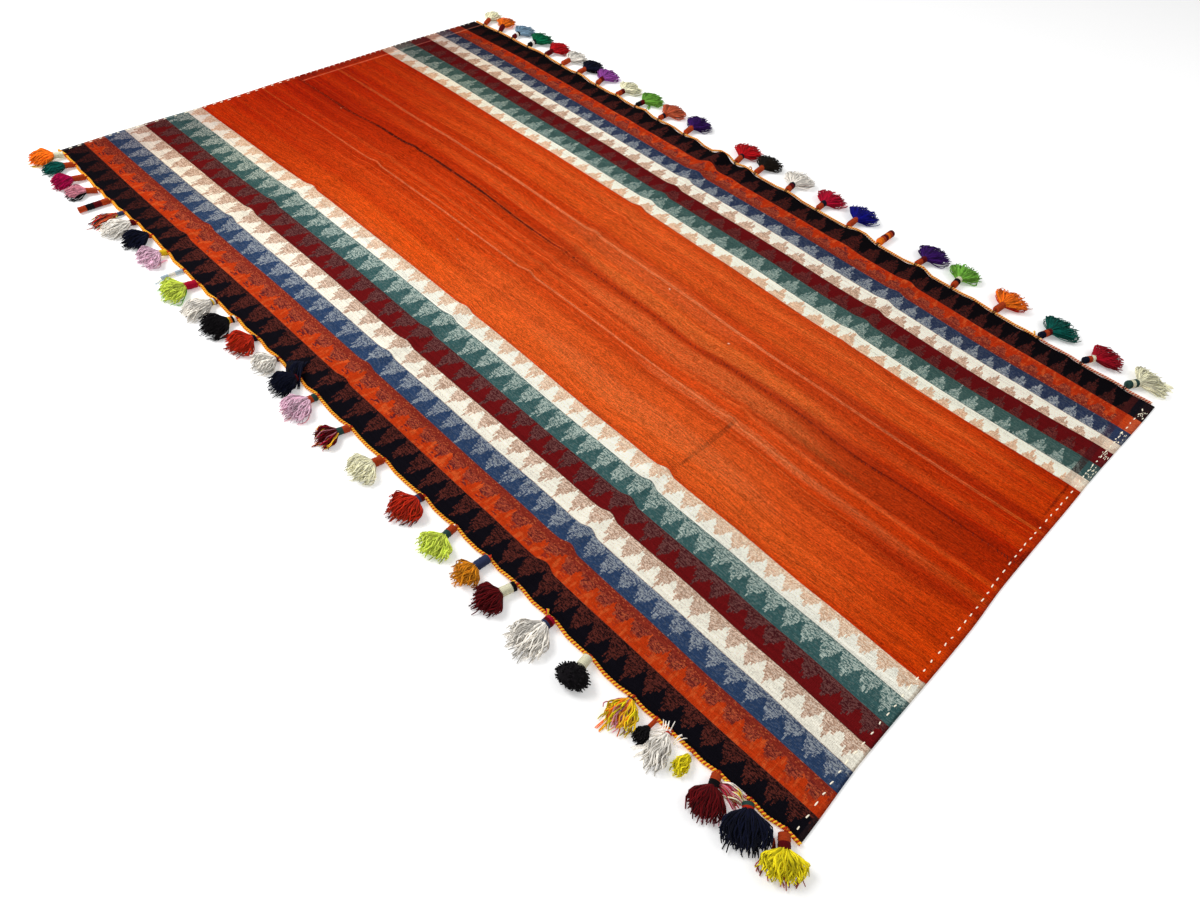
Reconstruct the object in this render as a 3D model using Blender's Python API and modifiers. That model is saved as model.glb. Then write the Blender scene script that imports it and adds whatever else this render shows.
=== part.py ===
"""Jajim: a flat-woven wool rug of two sewn panels, with edging cords and yarn tassels.

The rug lies on the floor, +Z up, with its long sides along Y and its far end at +Y. The
origin is on the floor under the middle of the cloth. Every length is in metres.
"""
import itertools
import math
import random
from collections import namedtuple

import bmesh
import bpy
from mathutils import Matrix, Vector

# --- Driving dimensions -----------------------------------------------------------------
NEAR_Y = -1.360           # nominal place of the cloth's near end
FAR_Y = 1.372             # nominal place of the cloth's far end
CLOTH_THICK = 0.0025      # flat-woven wool
PIECE_GAP = 0.0003        # between neighbouring pieces
CORD_RADIUS = 0.0042      # twisted edging cord
CLOTH_ROWS = 80           # steps along each panel, shared by its cord
TASSEL_DRAW = 0.0055      # how far a sewn tassel draws the left edge in
DRAW_REACH = 0.045        # length of edge that it draws, each way

# Columns of each panel, as shares of its width from its outer edge to the seam
LEFT_COLUMNS = (0.0, 0.08, 0.35, 0.68, 1.0)
RIGHT_COLUMNS = (0.0, 0.05, 0.13, 0.27, 0.58, 1.0)

# --- Outline: where each edge lies along the rug ------------------------------------------
Knot = namedtuple("Knot", "at value")

SEAM_X = (
    Knot(-1.36, 0.032), Knot(-1.12, 0.027), Knot(-0.93, 0.019), Knot(-0.73, 0.032),
    Knot(-0.57, 0.029), Knot(-0.42, 0.017), Knot(-0.25, 0.028), Knot(0.20, 0.035),
    Knot(0.50, 0.048), Knot(0.66, 0.047), Knot(0.90, 0.030), Knot(1.10, 0.007), Knot(1.37, 0.0),
)
LEFT_X = (
    Knot(-1.36, -0.799), Knot(-1.26, -0.806), Knot(-1.10, -0.815), Knot(-0.93, -0.818),
    Knot(-0.70, -0.812), Knot(0.00, -0.812), Knot(0.30, -0.808), Knot(0.60, -0.811),
    Knot(0.84, -0.803), Knot(1.05, -0.811), Knot(1.37, -0.803),
)
RIGHT_X = (
    Knot(-1.36, 0.793), Knot(-1.28, 0.789), Knot(-1.05, 0.795), Knot(-0.80, 0.803),
    Knot(-0.40, 0.811), Knot(0.00, 0.816), Knot(0.50, 0.818), Knot(1.00, 0.819),
    Knot(1.18, 0.814), Knot(1.37, 0.797),
)
NEAR_END_Y = (
    Knot(-0.80, -1.360), Knot(-0.60, -1.354), Knot(-0.20, -1.360), Knot(-0.05, -1.356),
    Knot(0.35, -1.361), Knot(0.80, -1.372),
)
FAR_END_Y = (
    Knot(-0.80, 1.369), Knot(-0.60, 1.373), Knot(-0.33, 1.367), Knot(0.00, 1.376),
    Knot(0.50, 1.382), Knot(0.80, 1.378),
)

# --- Folds: where the cloth rises off the floor -------------------------------------------
# Waves of the loose right edge: middle, height, half length along the edge, reach inward
Wave = namedtuple("Wave", "y height half reach")
RIGHT_WAVES = (
    Wave(1.020, 0.005, 0.080, 0.100), Wave(0.810, 0.007, 0.050, 0.100),
    Wave(0.620, 0.005, 0.045, 0.080), Wave(0.490, 0.009, 0.050, 0.110),
    Wave(0.362, 0.007, 0.040, 0.100), Wave(0.252, 0.008, 0.045, 0.110),
    Wave(0.125, 0.016, 0.048, 0.220), Wave(0.022, 0.010, 0.042, 0.130),
    Wave(-0.150, 0.006, 0.060, 0.100), Wave(-0.430, 0.013, 0.065, 0.140),
    Wave(-0.640, 0.008, 0.048, 0.110), Wave(-0.830, 0.004, 0.050, 0.090),
    Wave(-1.010, 0.004, 0.045, 0.080), Wave(-1.120, 0.003, 0.040, 0.080),
    Wave(-1.255, 0.004, 0.045, 0.080),
)
# Storage folds across the cloth: a low ridge from one x to another
Crease = namedtuple("Crease", "x_from y_from x_to y_to height half")
CREASES = (
    Crease(-0.80, 0.775, 0.08, 0.770, 0.0040, 0.042),
    Crease(-0.80, 0.040, 0.80, 0.115, 0.0045, 0.042),
    Crease(-0.80, -0.660, -0.06, -0.655, 0.0040, 0.042),
    Crease(0.40, -0.670, 0.80, -0.655, 0.0045, 0.042),
)
CREASE_FADE = 0.10        # length over which a ridge's end dies away

# --- Tassels --------------------------------------------------------------------------------
# A row for each, from the far end to the near end; lengths in mm. y is its root on the
# cord, turn its angle from square to the edge (+ towards the far end), neck and wrap the
# wrapped neck's length and radius, skirt, width and height the yarn's. across is the
# number of locks side by side, in two layers; 0 is a bare wrapped stub.
Tassel = namedtuple("Tassel", "y turn neck wrap skirt width height across colour")
LEFT_TASSELS = (
    Tassel(1325, 12, 28, 10.0, 62, 82, 32, 3, "orange"),
    Tassel(1262, 8, 26, 9.0, 58, 50, 27, 2, "teal"),
    Tassel(1183, 6, 36, 9.0, 52, 70, 28, 3, "magenta"),
    Tassel(1100, 22, 30, 9.0, 52, 58, 27, 3, "black"),
    Tassel(1034, 2, 84, 9.5, 0, 0, 0, 0, "rust"),
    Tassel(963, -6, 20, 6.0, 78, 46, 18, 2, "rust"),
    Tassel(899, 0, 16, 9.0, 74, 72, 28, 3, "white"),
    Tassel(820, 0, 8, 9.0, 62, 78, 30, 3, "navy"),
    Tassel(727, 0, 20, 9.0, 52, 88, 32, 3, "lilac"),
    Tassel(636, 3, 58, 6.0, 0, 0, 0, 0, "pale_blue"),
    Tassel(561, 6, 32, 11.0, 56, 94, 30, 3, "lime"),
    Tassel(472, -4, 16, 9.5, 74, 70, 28, 3, "white"),
    Tassel(381, 3, 22, 9.5, 64, 86, 32, 3, "black"),
    Tassel(289, 3, 12, 9.5, 60, 86, 32, 3, "red"),
    Tassel(194, 4, 8, 8.0, 52, 76, 26, 2, "white"),
    Tassel(106, 4, 8, 11.0, 58, 72, 34, 3, "navy"),
    Tassel(27, -4, 24, 10.0, 62, 80, 32, 3, "lilac"),
    Tassel(-102, 11, 30, 9.5, 50, 64, 26, 3, "maroon"),
    Tassel(-226, 7, 24, 11.0, 56, 86, 26, 3, "cream"),
    Tassel(-365, -2, 18, 10.5, 64, 88, 30, 3, "red"),
    Tassel(-472, -11, 34, 9.5, 54, 78, 28, 3, "lime"),
    Tassel(-578, 1, 36, 11.0, 50, 62, 27, 2, "mustard"),
    Tassel(-664, 12, 36, 11.0, 58, 74, 28, 3, "maroon"),
    Tassel(-768, -1, 22, 12.0, 76, 84, 26, 3, "white"),
    Tassel(-874, -11, 26, 11.0, 52, 70, 35, 3, "black"),
    Tassel(-988, -12, 8, 9.0, 60, 68, 27, 3, "yellow"),
    Tassel(-1045, -2, 22, 4.5, 36, 26, 18, 2, "black"),
    Tassel(-1078, -12, 12, 7.0, 68, 46, 24, 2, "white"),
    Tassel(-1130, -4, 10, 5.0, 40, 26, 18, 2, "yellow"),
    Tassel(-1187, -20, 28, 10.0, 56, 70, 30, 3, "maroon"),
    Tassel(-1256, -27, 16, 11.0, 64, 84, 34, 3, "navy"),
    Tassel(-1330, -41, 30, 11.5, 50, 84, 30, 3, "yellow"),
)
RIGHT_TASSELS = (
    Tassel(1327, 24, 34, 9.0, 64, 62, 28, 2, "cream"),
    Tassel(1250, 30, 30, 9.5, 70, 72, 30, 3, "orange"),
    Tassel(1178, 10, 34, 9.0, 70, 80, 28, 3, "sky"),
    Tassel(1092, 3, 34, 9.5, 72, 88, 32, 3, "green"),
    Tassel(1000, 0, 34, 9.5, 70, 84, 32, 3, "scarlet"),
    Tassel(911, 0, 38, 9.5, 70, 82, 30, 3, "white"),
    Tassel(826, -3, 34, 9.5, 74, 78, 32, 3, "navy"),
    Tassel(728, 12, 34, 9.5, 70, 84, 32, 3, "violet"),
    Tassel(627, 0, 36, 9.5, 66, 88, 28, 2, "cream"),
    Tassel(533, -10, 34, 9.0, 72, 88, 32, 3, "leaf"),
    Tassel(421, -2, 34, 9.5, 72, 90, 30, 3, "terracotta"),
    Tassel(301, 3, 36, 10.0, 80, 90, 34, 3, "indigo"),
    Tassel(74, 8, 36, 10.0, 79, 98, 34, 3, "scarlet"),
    Tassel(-9, 2, 36, 10.0, 79, 88, 32, 3, "olive"),
    Tassel(-138, 7, 36, 10.5, 81, 100, 32, 3, "white"),
    Tassel(-262, 0, 34, 10.0, 75, 98, 34, 3, "crimson"),
    Tassel(-379, -1, 38, 10.0, 79, 98, 34, 3, "royal"),
    Tassel(-492, 0, 74, 12.0, 0, 0, 0, 0, "rust"),
    Tassel(-626, -10, 38, 10.0, 79, 100, 34, 3, "indigo"),
    Tassel(-754, 4, 38, 10.5, 75, 94, 32, 3, "leaf"),
    Tassel(-893, -8, 34, 10.5, 79, 102, 32, 3, "red"),
    Tassel(-1033, -20, 38, 10.5, 79, 108, 32, 3, "teal"),
    Tassel(-1162, -34, 34, 10.0, 77, 92, 32, 3, "maroon"),
    Tassel(-1286, -30, 42, 12.0, 67, 106, 30, 3, "cream"),
)
MM = 0.001

# Shape of a skirt: two sections after the neck, as shares of its length, width and height.
# low and high are the floor side and top of each layer of locks.
Section = namedtuple("Section", "reach width gap layers")
Layer = namedtuple("Layer", "low high trim")
BELLY = Section(0.46, 0.92, 0.0015, (Layer(0.0, 0.48, 1.0), Layer(0.52, 1.0, 1.0)))
TIPS = Section(1.0, 0.90, 0.004, (Layer(0.0, 0.30, 1.0), Layer(0.38, 0.66, 0.90)))
FAN_ROUND = 0.26          # how far the outer locks stop short, as a share of the reach
CROWN = 0.28              # how much lower the outer locks are
LOCK_JITTER = 0.05        # uneven cutting of the yarn
NECK_RISE = 0.46          # height of the neck's skirt end, as a share of the skirt's height
CORD_LEVELS = (0.4, 1.0, 1.5)          # heights on the cord, in its radii, and steps across
NECK_STEPS = (-1.0, -0.5, 0.0, 0.5, 1.0)   # the neck's end, where the two are set apart
STUB_SIDES = 10
STUB_TAPER = 0.92

# --- Colours, linear, and finish ------------------------------------------------------------
WOOL_ROUGHNESS = 0.92
COLOURS = {
    "field_orange": (0.60, 0.085, 0.014), "gold": (0.80, 0.38, 0.07), "salmon": (0.72, 0.34, 0.22),
    "orange": (0.92, 0.20, 0.012), "teal": (0.004, 0.055, 0.048), "magenta": (0.38, 0.002, 0.03),
    "black": (0.006, 0.005, 0.006), "rust": (0.36, 0.045, 0.012), "white": (0.72, 0.66, 0.58),
    "navy": (0.004, 0.005, 0.022), "lilac": (0.72, 0.45, 0.52), "pale_blue": (0.50, 0.62, 0.70),
    "lime": (0.52, 0.62, 0.055), "red": (0.40, 0.02, 0.006), "maroon": (0.07, 0.003, 0.004),
    "cream": (0.64, 0.56, 0.34), "mustard": (0.62, 0.19, 0.008), "yellow": (0.72, 0.42, 0.01),
    "sky": (0.18, 0.32, 0.45), "green": (0.004, 0.075, 0.032), "scarlet": (0.32, 0.003, 0.005),
    "violet": (0.22, 0.03, 0.22), "leaf": (0.14, 0.40, 0.035), "terracotta": (0.52, 0.09, 0.03),
    "indigo": (0.02, 0.002, 0.08), "olive": (0.014, 0.008, 0.003), "crimson": (0.34, 0.002, 0.018),
    "royal": (0.003, 0.003, 0.16),
}


def smooth(share):
    """Ease 0 to 1 with level ends."""
    share = min(max(share, 0.0), 1.0)
    return share * share * (3.0 - 2.0 * share)


def mix(start, end, share):
    return start + (end - start) * share


def along(knots, at):
    """Read a table of knots, eased from each knot to the next."""
    if at <= knots[0].at:
        return knots[0].value
    for low, high in zip(knots, knots[1:]):
        if at <= high.at:
            return mix(low.value, high.value, smooth((at - low.at) / (high.at - low.at)))
    return knots[-1].value


def hump(distance, half):
    """A rounded bump: 1 in the middle, 0 from half its length on."""
    if abs(distance) >= half:
        return 0.0
    return math.cos(0.5 * math.pi * distance / half) ** 2


def left_x(y):
    """Left edge of the cloth, drawn in a little where each tassel is sewn on."""
    drawn = max(hump(y - row.y * MM, DRAW_REACH) for row in LEFT_TASSELS)
    return along(LEFT_X, y) + TASSEL_DRAW * drawn


def right_x(y):
    return along(RIGHT_X, y)


def seam_x(y):
    return along(SEAM_X, y)


def crease_height(crease, x, y):
    share = (x - crease.x_from) / (crease.x_to - crease.x_from)
    ridge_y = mix(crease.y_from, crease.y_to, share)
    ends = smooth((x - crease.x_from) / CREASE_FADE + 1.0) * smooth((crease.x_to - x) / CREASE_FADE + 1.0)
    return crease.height * hump(y - ridge_y, crease.half) * ends


def wave_height(wave, x, y):
    inward = (right_x(y) - x) / wave.reach
    return wave.height * hump(y - wave.y, wave.half) * smooth(1.0 - inward)


def cloth_height(x, y):
    """Underside of the cloth: level on the floor, but for its folds."""
    folds = sum(crease_height(crease, x, y) for crease in CREASES)
    return folds + sum(wave_height(wave, x, y) for wave in RIGHT_WAVES)


def cloth_point(outer_x, share_in, share_up):
    """Place on the cloth, from shares of its width and length."""
    row_y = mix(NEAR_Y, FAR_Y, share_up)
    side = math.copysign(1.0, outer_x(row_y))
    inner = seam_x(row_y) + side * PIECE_GAP / 2
    x = mix(outer_x(row_y), inner, share_in)
    y = mix(along(NEAR_END_Y, x), along(FAR_END_Y, x), share_up)
    return Vector((x, y, cloth_height(x, y)))


def wool(name, colour):
    material = bpy.data.materials.new(name)
    material.use_nodes = True
    shader = material.node_tree.nodes["Principled BSDF"]
    shader.inputs["Base Color"].default_value = (*COLOURS[colour], 1.0)
    shader.inputs["Roughness"].default_value = WOOL_ROUGHNESS
    shader.inputs["Metallic"].default_value = 0.0
    return material


def add_object(name, data, colour, collection):
    data.materials.append(wool(name, colour))
    piece = bpy.data.objects.new(name, data)
    collection.objects.link(piece)
    return piece


def add_panel(name, outer_x, columns, collection):
    """One woven panel: a grid laid to the outline and folds, thickened upward."""
    bm = bmesh.new()
    spans = len(columns) - 1
    bmesh.ops.create_grid(bm, x_segments=spans, y_segments=CLOTH_ROWS, size=0.5)
    for vert in bm.verts:
        column = columns[round((vert.co.x + 0.5) * spans)]
        vert.co = cloth_point(outer_x, column, vert.co.y + 0.5)
    bmesh.ops.recalc_face_normals(bm, faces=bm.faces)
    if sum(face.normal.z for face in bm.faces) < 0.0:
        bmesh.ops.reverse_faces(bm, faces=bm.faces)
    mesh = bpy.data.meshes.new(name)
    bm.to_mesh(mesh)
    bm.free()
    panel = add_object(name, mesh, "field_orange", collection)
    thicken = panel.modifiers.new("thickness", "SOLIDIFY")
    thicken.thickness = CLOTH_THICK
    thicken.offset = 1.0
    return panel


def cord_half(height):
    """Half width of the cord at a height above its lowest line."""
    return math.sqrt(max(CORD_RADIUS ** 2 - (height - CORD_RADIUS) ** 2, 0.0))


def cord_route(outer_x, outward):
    """Middle line of an edging cord: its side meets the top corner of the cloth's edge."""
    beside = cord_half(CLOTH_THICK) + PIECE_GAP
    edge = [cloth_point(outer_x, 0.0, row / CLOTH_ROWS) for row in range(CLOTH_ROWS + 1)]
    route = []
    for index, point in enumerate(edge):
        before = edge[max(index - 1, 0)]
        after = edge[min(index + 1, CLOTH_ROWS)]
        run = Vector((after.x - before.x, after.y - before.y, 0.0)).normalized()
        square = Vector((run.y, -run.x, 0.0)) * outward
        route.append(point + square * beside + Vector((0.0, 0.0, CORD_RADIUS)))
    return route


def add_cord(name, route, colour, collection):
    curve = bpy.data.curves.new(name, "CURVE")
    curve.dimensions = "3D"
    curve.bevel_depth = CORD_RADIUS
    curve.bevel_resolution = 2
    curve.use_fill_caps = True
    spline = curve.splines.new("POLY")
    spline.points.add(len(route) - 1)
    for point, place in zip(spline.points, route):
        point.co = (*place, 1.0)
    return add_object(name, curve, colour, collection)


def cord_at(route, y):
    """Place on the cord's middle line at y, read between its points."""
    for low, high in zip(route, route[1:]):
        if low.y <= y <= high.y:
            return low.lerp(high, (y - low.y) / (high.y - low.y))
    return route[0] if y < route[0].y else route[-1]


def tassel_place(row, route, outward):
    """Frame of a tassel at its root: X across the locks, Y up, Z along the neck.

    The root stands off until the round end of the neck just clears the cord everywhere.
    """
    y = row.y * MM
    wrap = row.wrap * MM
    turn = math.radians(row.turn)
    heading = Vector((outward * math.cos(turn), math.sin(turn), 0.0))
    up = Vector((0.0, 0.0, 1.0))
    across = up.cross(heading)
    reaches = []
    for level, step in itertools.product(CORD_LEVELS, NECK_STEPS):
        above = level * CORD_RADIUS
        height = cord_at(route, y).z - CORD_RADIUS + above
        neck_half = math.sqrt(max(wrap ** 2 - (height - wrap) ** 2, 0.0))
        side = across * step * neck_half
        reaches.append(outward * (cord_at(route, y + side.y).x - side.x) + cord_half(above))
    place = Matrix((across, up, heading)).transposed().to_4x4()
    place.translation = (outward * (max(reaches) + PIECE_GAP), y, 0.0)
    return place


def ring_corner(corner, radius, height):
    """Put a corner of the square grid's rim on a circle."""
    angle = math.atan2(corner.y, corner.x)
    return Vector((radius * math.cos(angle), height + radius * math.sin(angle), 0.0))


def lock_corner(row, section, column, layer, corner, jitter):
    """Place of one corner of a lock's section, in the tassel's frame."""
    width = row.width * MM * section.width
    pitch = width / row.across
    centre = (column - (row.across - 1) / 2) * pitch
    across = centre + corner.x * (pitch - section.gap) / 2
    off_middle = abs(across) / (width / 2)
    band = section.layers[layer]
    height = row.height * MM * (1.0 - CROWN * (abs(centre) / (width / 2)) ** 2)
    up = height * (band.high if corner.y > 0.0 else band.low)
    reach = row.skirt * MM * section.reach * band.trim * jitter
    return Vector((across, up, row.neck * MM + reach * (1.0 - FAN_ROUND * off_middle ** 2)))


def skirt_mesh(row, seed):
    """Neck and locks of one tassel: a grid of faces on the neck's end, each drawn out."""
    chance = random.Random(seed)
    wrap = row.wrap * MM
    low_end = wrap
    high_end = max(wrap, NECK_RISE * row.height * MM)
    bm = bmesh.new()
    bmesh.ops.create_grid(bm, x_segments=row.across, y_segments=2, size=1.0)
    faces = list(bm.faces)
    rim = [edge for edge in bm.edges if edge.is_boundary]
    middle = [vert for vert in bm.verts if not vert.is_boundary]
    back = bmesh.ops.extrude_edge_only(bm, edges=rim)["geom"]
    root = [item for item in back if isinstance(item, bmesh.types.BMVert)]
    places = {face: face.calc_center_median() for face in faces}
    for vert in middle:
        vert.co = Vector((vert.co.x * wrap, high_end, row.neck * MM))
    for vert in {vert for edge in rim for vert in edge.verts}:
        vert.co = ring_corner(vert.co, wrap, high_end) + Vector((0.0, 0.0, row.neck * MM))
    for vert in root:
        vert.co = ring_corner(vert.co, wrap, low_end)
    bmesh.ops.contextual_create(bm, geom=root)
    spots = sorted(((round((place.x + 1.0) * row.across / 2 - 0.5), int(place.y > 0.0), face)
                    for face, place in places.items()), key=lambda spot: spot[:2])
    for column, layer, face in spots:
        jitter = 1.0 + LOCK_JITTER * chance.uniform(-1.0, 1.0)
        for section in (BELLY, TIPS):
            face = bmesh.ops.extrude_discrete_faces(bm, faces=[face])["faces"][0]
            centre = face.calc_center_median()
            corners = {vert: vert.co - centre for vert in face.verts}
            for vert, offset in corners.items():
                corner = Vector((math.copysign(1.0, offset.x), math.copysign(1.0, offset.y), 0.0))
                vert.co = lock_corner(row, section, column, layer, corner, jitter)
    bmesh.ops.recalc_face_normals(bm, faces=bm.faces)
    return bm


def stub_mesh(row):
    """A bare wrapped stub: a short roll that lies on the floor."""
    bm = bmesh.new()
    length = row.neck * MM
    wrap = row.wrap * MM
    bmesh.ops.create_cone(
        bm, cap_ends=True, segments=STUB_SIDES, radius1=wrap, radius2=wrap * STUB_TAPER, depth=length,
    )
    bmesh.ops.translate(bm, verts=bm.verts, vec=(0.0, wrap, length / 2))
    return bm


def add_tassel(name, row, place, seed, collection):
    bm = skirt_mesh(row, seed) if row.across else stub_mesh(row)
    bmesh.ops.transform(bm, matrix=place, verts=bm.verts)
    mesh = bpy.data.meshes.new(name)
    bm.to_mesh(mesh)
    bm.free()
    return add_object(name, mesh, row.colour, collection)


def add_side(side, outward, outer_x, columns, tassels, cord_colour, collection):
    """One panel with the cord and tassels of its long side."""
    add_panel(f"panel_{side}", outer_x, columns, collection)
    route = cord_route(outer_x, outward)
    add_cord(f"edge_cord_{side}", route, cord_colour, collection)
    for number, row in enumerate(tassels, start=1):
        place = tassel_place(row, route, outward)
        add_tassel(f"tassel_{side}_{number:02d}", row, place, number, collection)


def main():
    for piece in list(bpy.data.objects):
        bpy.data.objects.remove(piece, do_unlink=True)
    collection = bpy.data.collections.new("jajim_rug")
    bpy.context.scene.collection.children.link(collection)
    add_side("left", -1.0, left_x, LEFT_COLUMNS, LEFT_TASSELS, "gold", collection)
    add_side("right", 1.0, right_x, RIGHT_COLUMNS, RIGHT_TASSELS, "salmon", collection)


main()
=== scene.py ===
# %% [markdown]
# # A jajim rug
# A jajim is a flat-woven wool rug. Two narrow lengths are woven on a simple loom, laid side by
# side and sewn together. A twisted cord edges each long side, and wool tassels hang from it.
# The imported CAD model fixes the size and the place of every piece. This lesson dresses it.

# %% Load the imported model
import itertools
import math
import random
from collections import namedtuple

import bmesh
import bpy
from mathutils import Matrix, Vector, noise


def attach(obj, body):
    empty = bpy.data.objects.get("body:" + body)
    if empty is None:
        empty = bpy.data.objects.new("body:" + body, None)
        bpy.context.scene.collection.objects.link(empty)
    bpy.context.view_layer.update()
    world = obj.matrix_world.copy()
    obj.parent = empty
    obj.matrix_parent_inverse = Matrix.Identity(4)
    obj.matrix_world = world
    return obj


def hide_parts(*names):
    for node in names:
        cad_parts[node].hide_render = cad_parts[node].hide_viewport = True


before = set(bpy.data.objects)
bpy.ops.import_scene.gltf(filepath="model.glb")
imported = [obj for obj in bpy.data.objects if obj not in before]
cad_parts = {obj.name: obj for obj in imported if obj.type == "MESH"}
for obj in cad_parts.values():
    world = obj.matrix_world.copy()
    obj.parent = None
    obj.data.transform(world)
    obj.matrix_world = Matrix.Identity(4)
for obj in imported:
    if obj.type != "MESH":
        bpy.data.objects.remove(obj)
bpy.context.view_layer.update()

MM = 0.001

# %% [markdown]
# ## The outline and the folds
# The rug was measured as a few knots along each edge. Reading between knots with an eased step
# gives edges that wander as hand-woven edges do. Folds are added as rounded humps. The edges are
# those that the CAD model was made from, and the folds differ from it only a little, so each
# dressed piece lands on its solid.

# %% Sizes of the rug, in metres
NEAR_Y = -1.360
FAR_Y = 1.372
CLOTH_THICK = 0.0025
PIECE_GAP = 0.0003
CORD_RADIUS = 0.0042
CORD_STEPS = 80
TASSEL_DRAW = 0.0055      # how far a sewn tassel draws the left edge in
DRAW_REACH = 0.045        # length of edge that it draws, each way
CREASE_FADE = 0.10        # length over which a ridge's end dies away


def table(fields, *rows):
    """Rows whose columns can be read by name."""
    Row = namedtuple("Row", fields)
    return [Row(*row) for row in rows]


def knots(*pairs):
    return table("at value", *pairs)


SEAM_X = knots(
    (-1.36, 0.032), (-1.12, 0.027), (-0.93, 0.019), (-0.73, 0.032), (-0.57, 0.029), (-0.42, 0.017),
    (-0.25, 0.028), (0.20, 0.035), (0.50, 0.048), (0.66, 0.047), (0.90, 0.030), (1.10, 0.007),
    (1.37, 0.0))
LEFT_X = knots(
    (-1.36, -0.799), (-1.26, -0.806), (-1.10, -0.815), (-0.93, -0.818), (-0.70, -0.812),
    (0.00, -0.812), (0.30, -0.808), (0.60, -0.811), (0.84, -0.803), (1.05, -0.811), (1.37, -0.803))
RIGHT_X = knots(
    (-1.36, 0.793), (-1.28, 0.789), (-1.05, 0.795), (-0.80, 0.803), (-0.40, 0.811), (0.00, 0.816),
    (0.50, 0.818), (1.00, 0.819), (1.18, 0.814), (1.37, 0.797))
NEAR_END_Y = knots(
    (-0.80, -1.360), (-0.60, -1.354), (-0.20, -1.360), (-0.05, -1.356), (0.35, -1.361),
    (0.80, -1.372))
FAR_END_Y = knots(
    (-0.80, 1.369), (-0.60, 1.373), (-0.33, 1.367), (0.00, 1.376), (0.50, 1.382), (0.80, 1.378))


def smooth(share):
    """Ease 0 to 1 with level ends."""
    share = min(max(share, 0.0), 1.0)
    return share * share * (3.0 - 2.0 * share)


def evenly(share):
    return share


def mix(start, end, share):
    return start + (end - start) * share


def along(edge, at, ease=smooth):
    """Read an edge between each knot and the next."""
    if at <= edge[0].at:
        return edge[0].value
    for low, high in zip(edge, edge[1:]):
        if at <= high.at:
            return mix(low.value, high.value, ease((at - low.at) / (high.at - low.at)))
    return edge[-1].value


def hump(distance, half):
    """A rounded bump: 1 in the middle, 0 from half its length on."""
    if abs(distance) >= half:
        return 0.0
    return math.cos(0.5 * math.pi * distance / half) ** 2


places = [knot.value for knot in SEAM_X]
print("seam wanders", round((max(places) - min(places)) / MM), "mm")

# %% Folds: waves of the loose right edge, and storage folds across the cloth
RIGHT_WAVES = table(
    "y height half reach",
    (1.020, 0.005, 0.080, 0.100), (0.810, 0.007, 0.050, 0.100), (0.620, 0.005, 0.045, 0.080),
    (0.490, 0.009, 0.050, 0.110), (0.362, 0.007, 0.040, 0.100), (0.252, 0.008, 0.045, 0.110),
    (0.125, 0.016, 0.048, 0.220), (0.022, 0.010, 0.042, 0.130), (-0.150, 0.006, 0.060, 0.100),
    (-0.430, 0.013, 0.065, 0.140), (-0.640, 0.008, 0.048, 0.110), (-0.830, 0.004, 0.050, 0.090),
    (-1.010, 0.004, 0.045, 0.080), (-1.120, 0.003, 0.040, 0.080), (-1.255, 0.004, 0.045, 0.080))
CREASES = table(
    "x_from y_from x_to y_to height half drop pull",
    (-0.80, 0.775, 0.08, 0.770, 0.0046, 0.044, 0.026, 0.004),
    (-0.80, 0.040, 0.80, 0.115, 0.0050, 0.048, 0.028, 0.004),
    (-0.80, -0.662, -0.06, -0.656, 0.0038, 0.056, 0.018, 0.0085),
    (0.40, -0.670, 0.80, -0.655, 0.0046, 0.042, 0.030, 0.003))


def ridge(crease, x):
    """How far along a crease x lies, and the crease's y there."""
    share = (x - crease.x_from) / (crease.x_to - crease.x_from)
    return share, mix(crease.y_from, crease.y_to, share)


def crease_height(crease, x, y):
    past = y - ridge(crease, x)[1]
    ends = smooth((x - crease.x_from) / CREASE_FADE + 1.0)
    ends *= smooth((crease.x_to - x) / CREASE_FADE + 1.0)
    return crease.height * hump(past, crease.half if past > 0.0 else crease.drop) * ends


def wave_height(wave, x, y):
    inward = (right_x(y) - x) / wave.reach
    return wave.height * hump(y - wave.y, wave.half) * smooth(1.0 - inward)


def cloth_height(x, y):
    """Underside of the cloth: level on the floor, but for its folds."""
    folds = sum(crease_height(crease, x, y) for crease in CREASES)
    return folds + sum(wave_height(wave, x, y) for wave in RIGHT_WAVES)


print(len(RIGHT_WAVES), "waves and", len(CREASES), "folds")

# %% [markdown]
# ## The table of tassels
# Every tassel was made by hand from what yarn was left over, so no two match. One row holds a
# tassel's place and size, its colour, and the colours wound on its neck from the cord outward.
# Where its yarn is of several colours, they follow, from the floor up. Then comes its fan: how
# much shorter its outer strands are. A bare stub has lost its yarn. The sizes are the CAD
# model's, apart from a few millimetres or degrees in three of the rows near the left corner.

# %% Tassels, from the far end to the near end; lengths in mm, turns in degrees
Tassel = namedtuple(
    "Tassel", "y turn neck wrap skirt width height colour winding yarns fan", defaults=(None, 0.26))


def tassels(*rows):
    """The table's rows, with each list of colours taken apart."""
    made = []
    for row in (Tassel(*row) for row in rows):
        yarns = row.colour if row.yarns is None else row.yarns
        made.append(row._replace(winding=row.winding.split(), yarns=yarns.split()))
    return made


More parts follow.
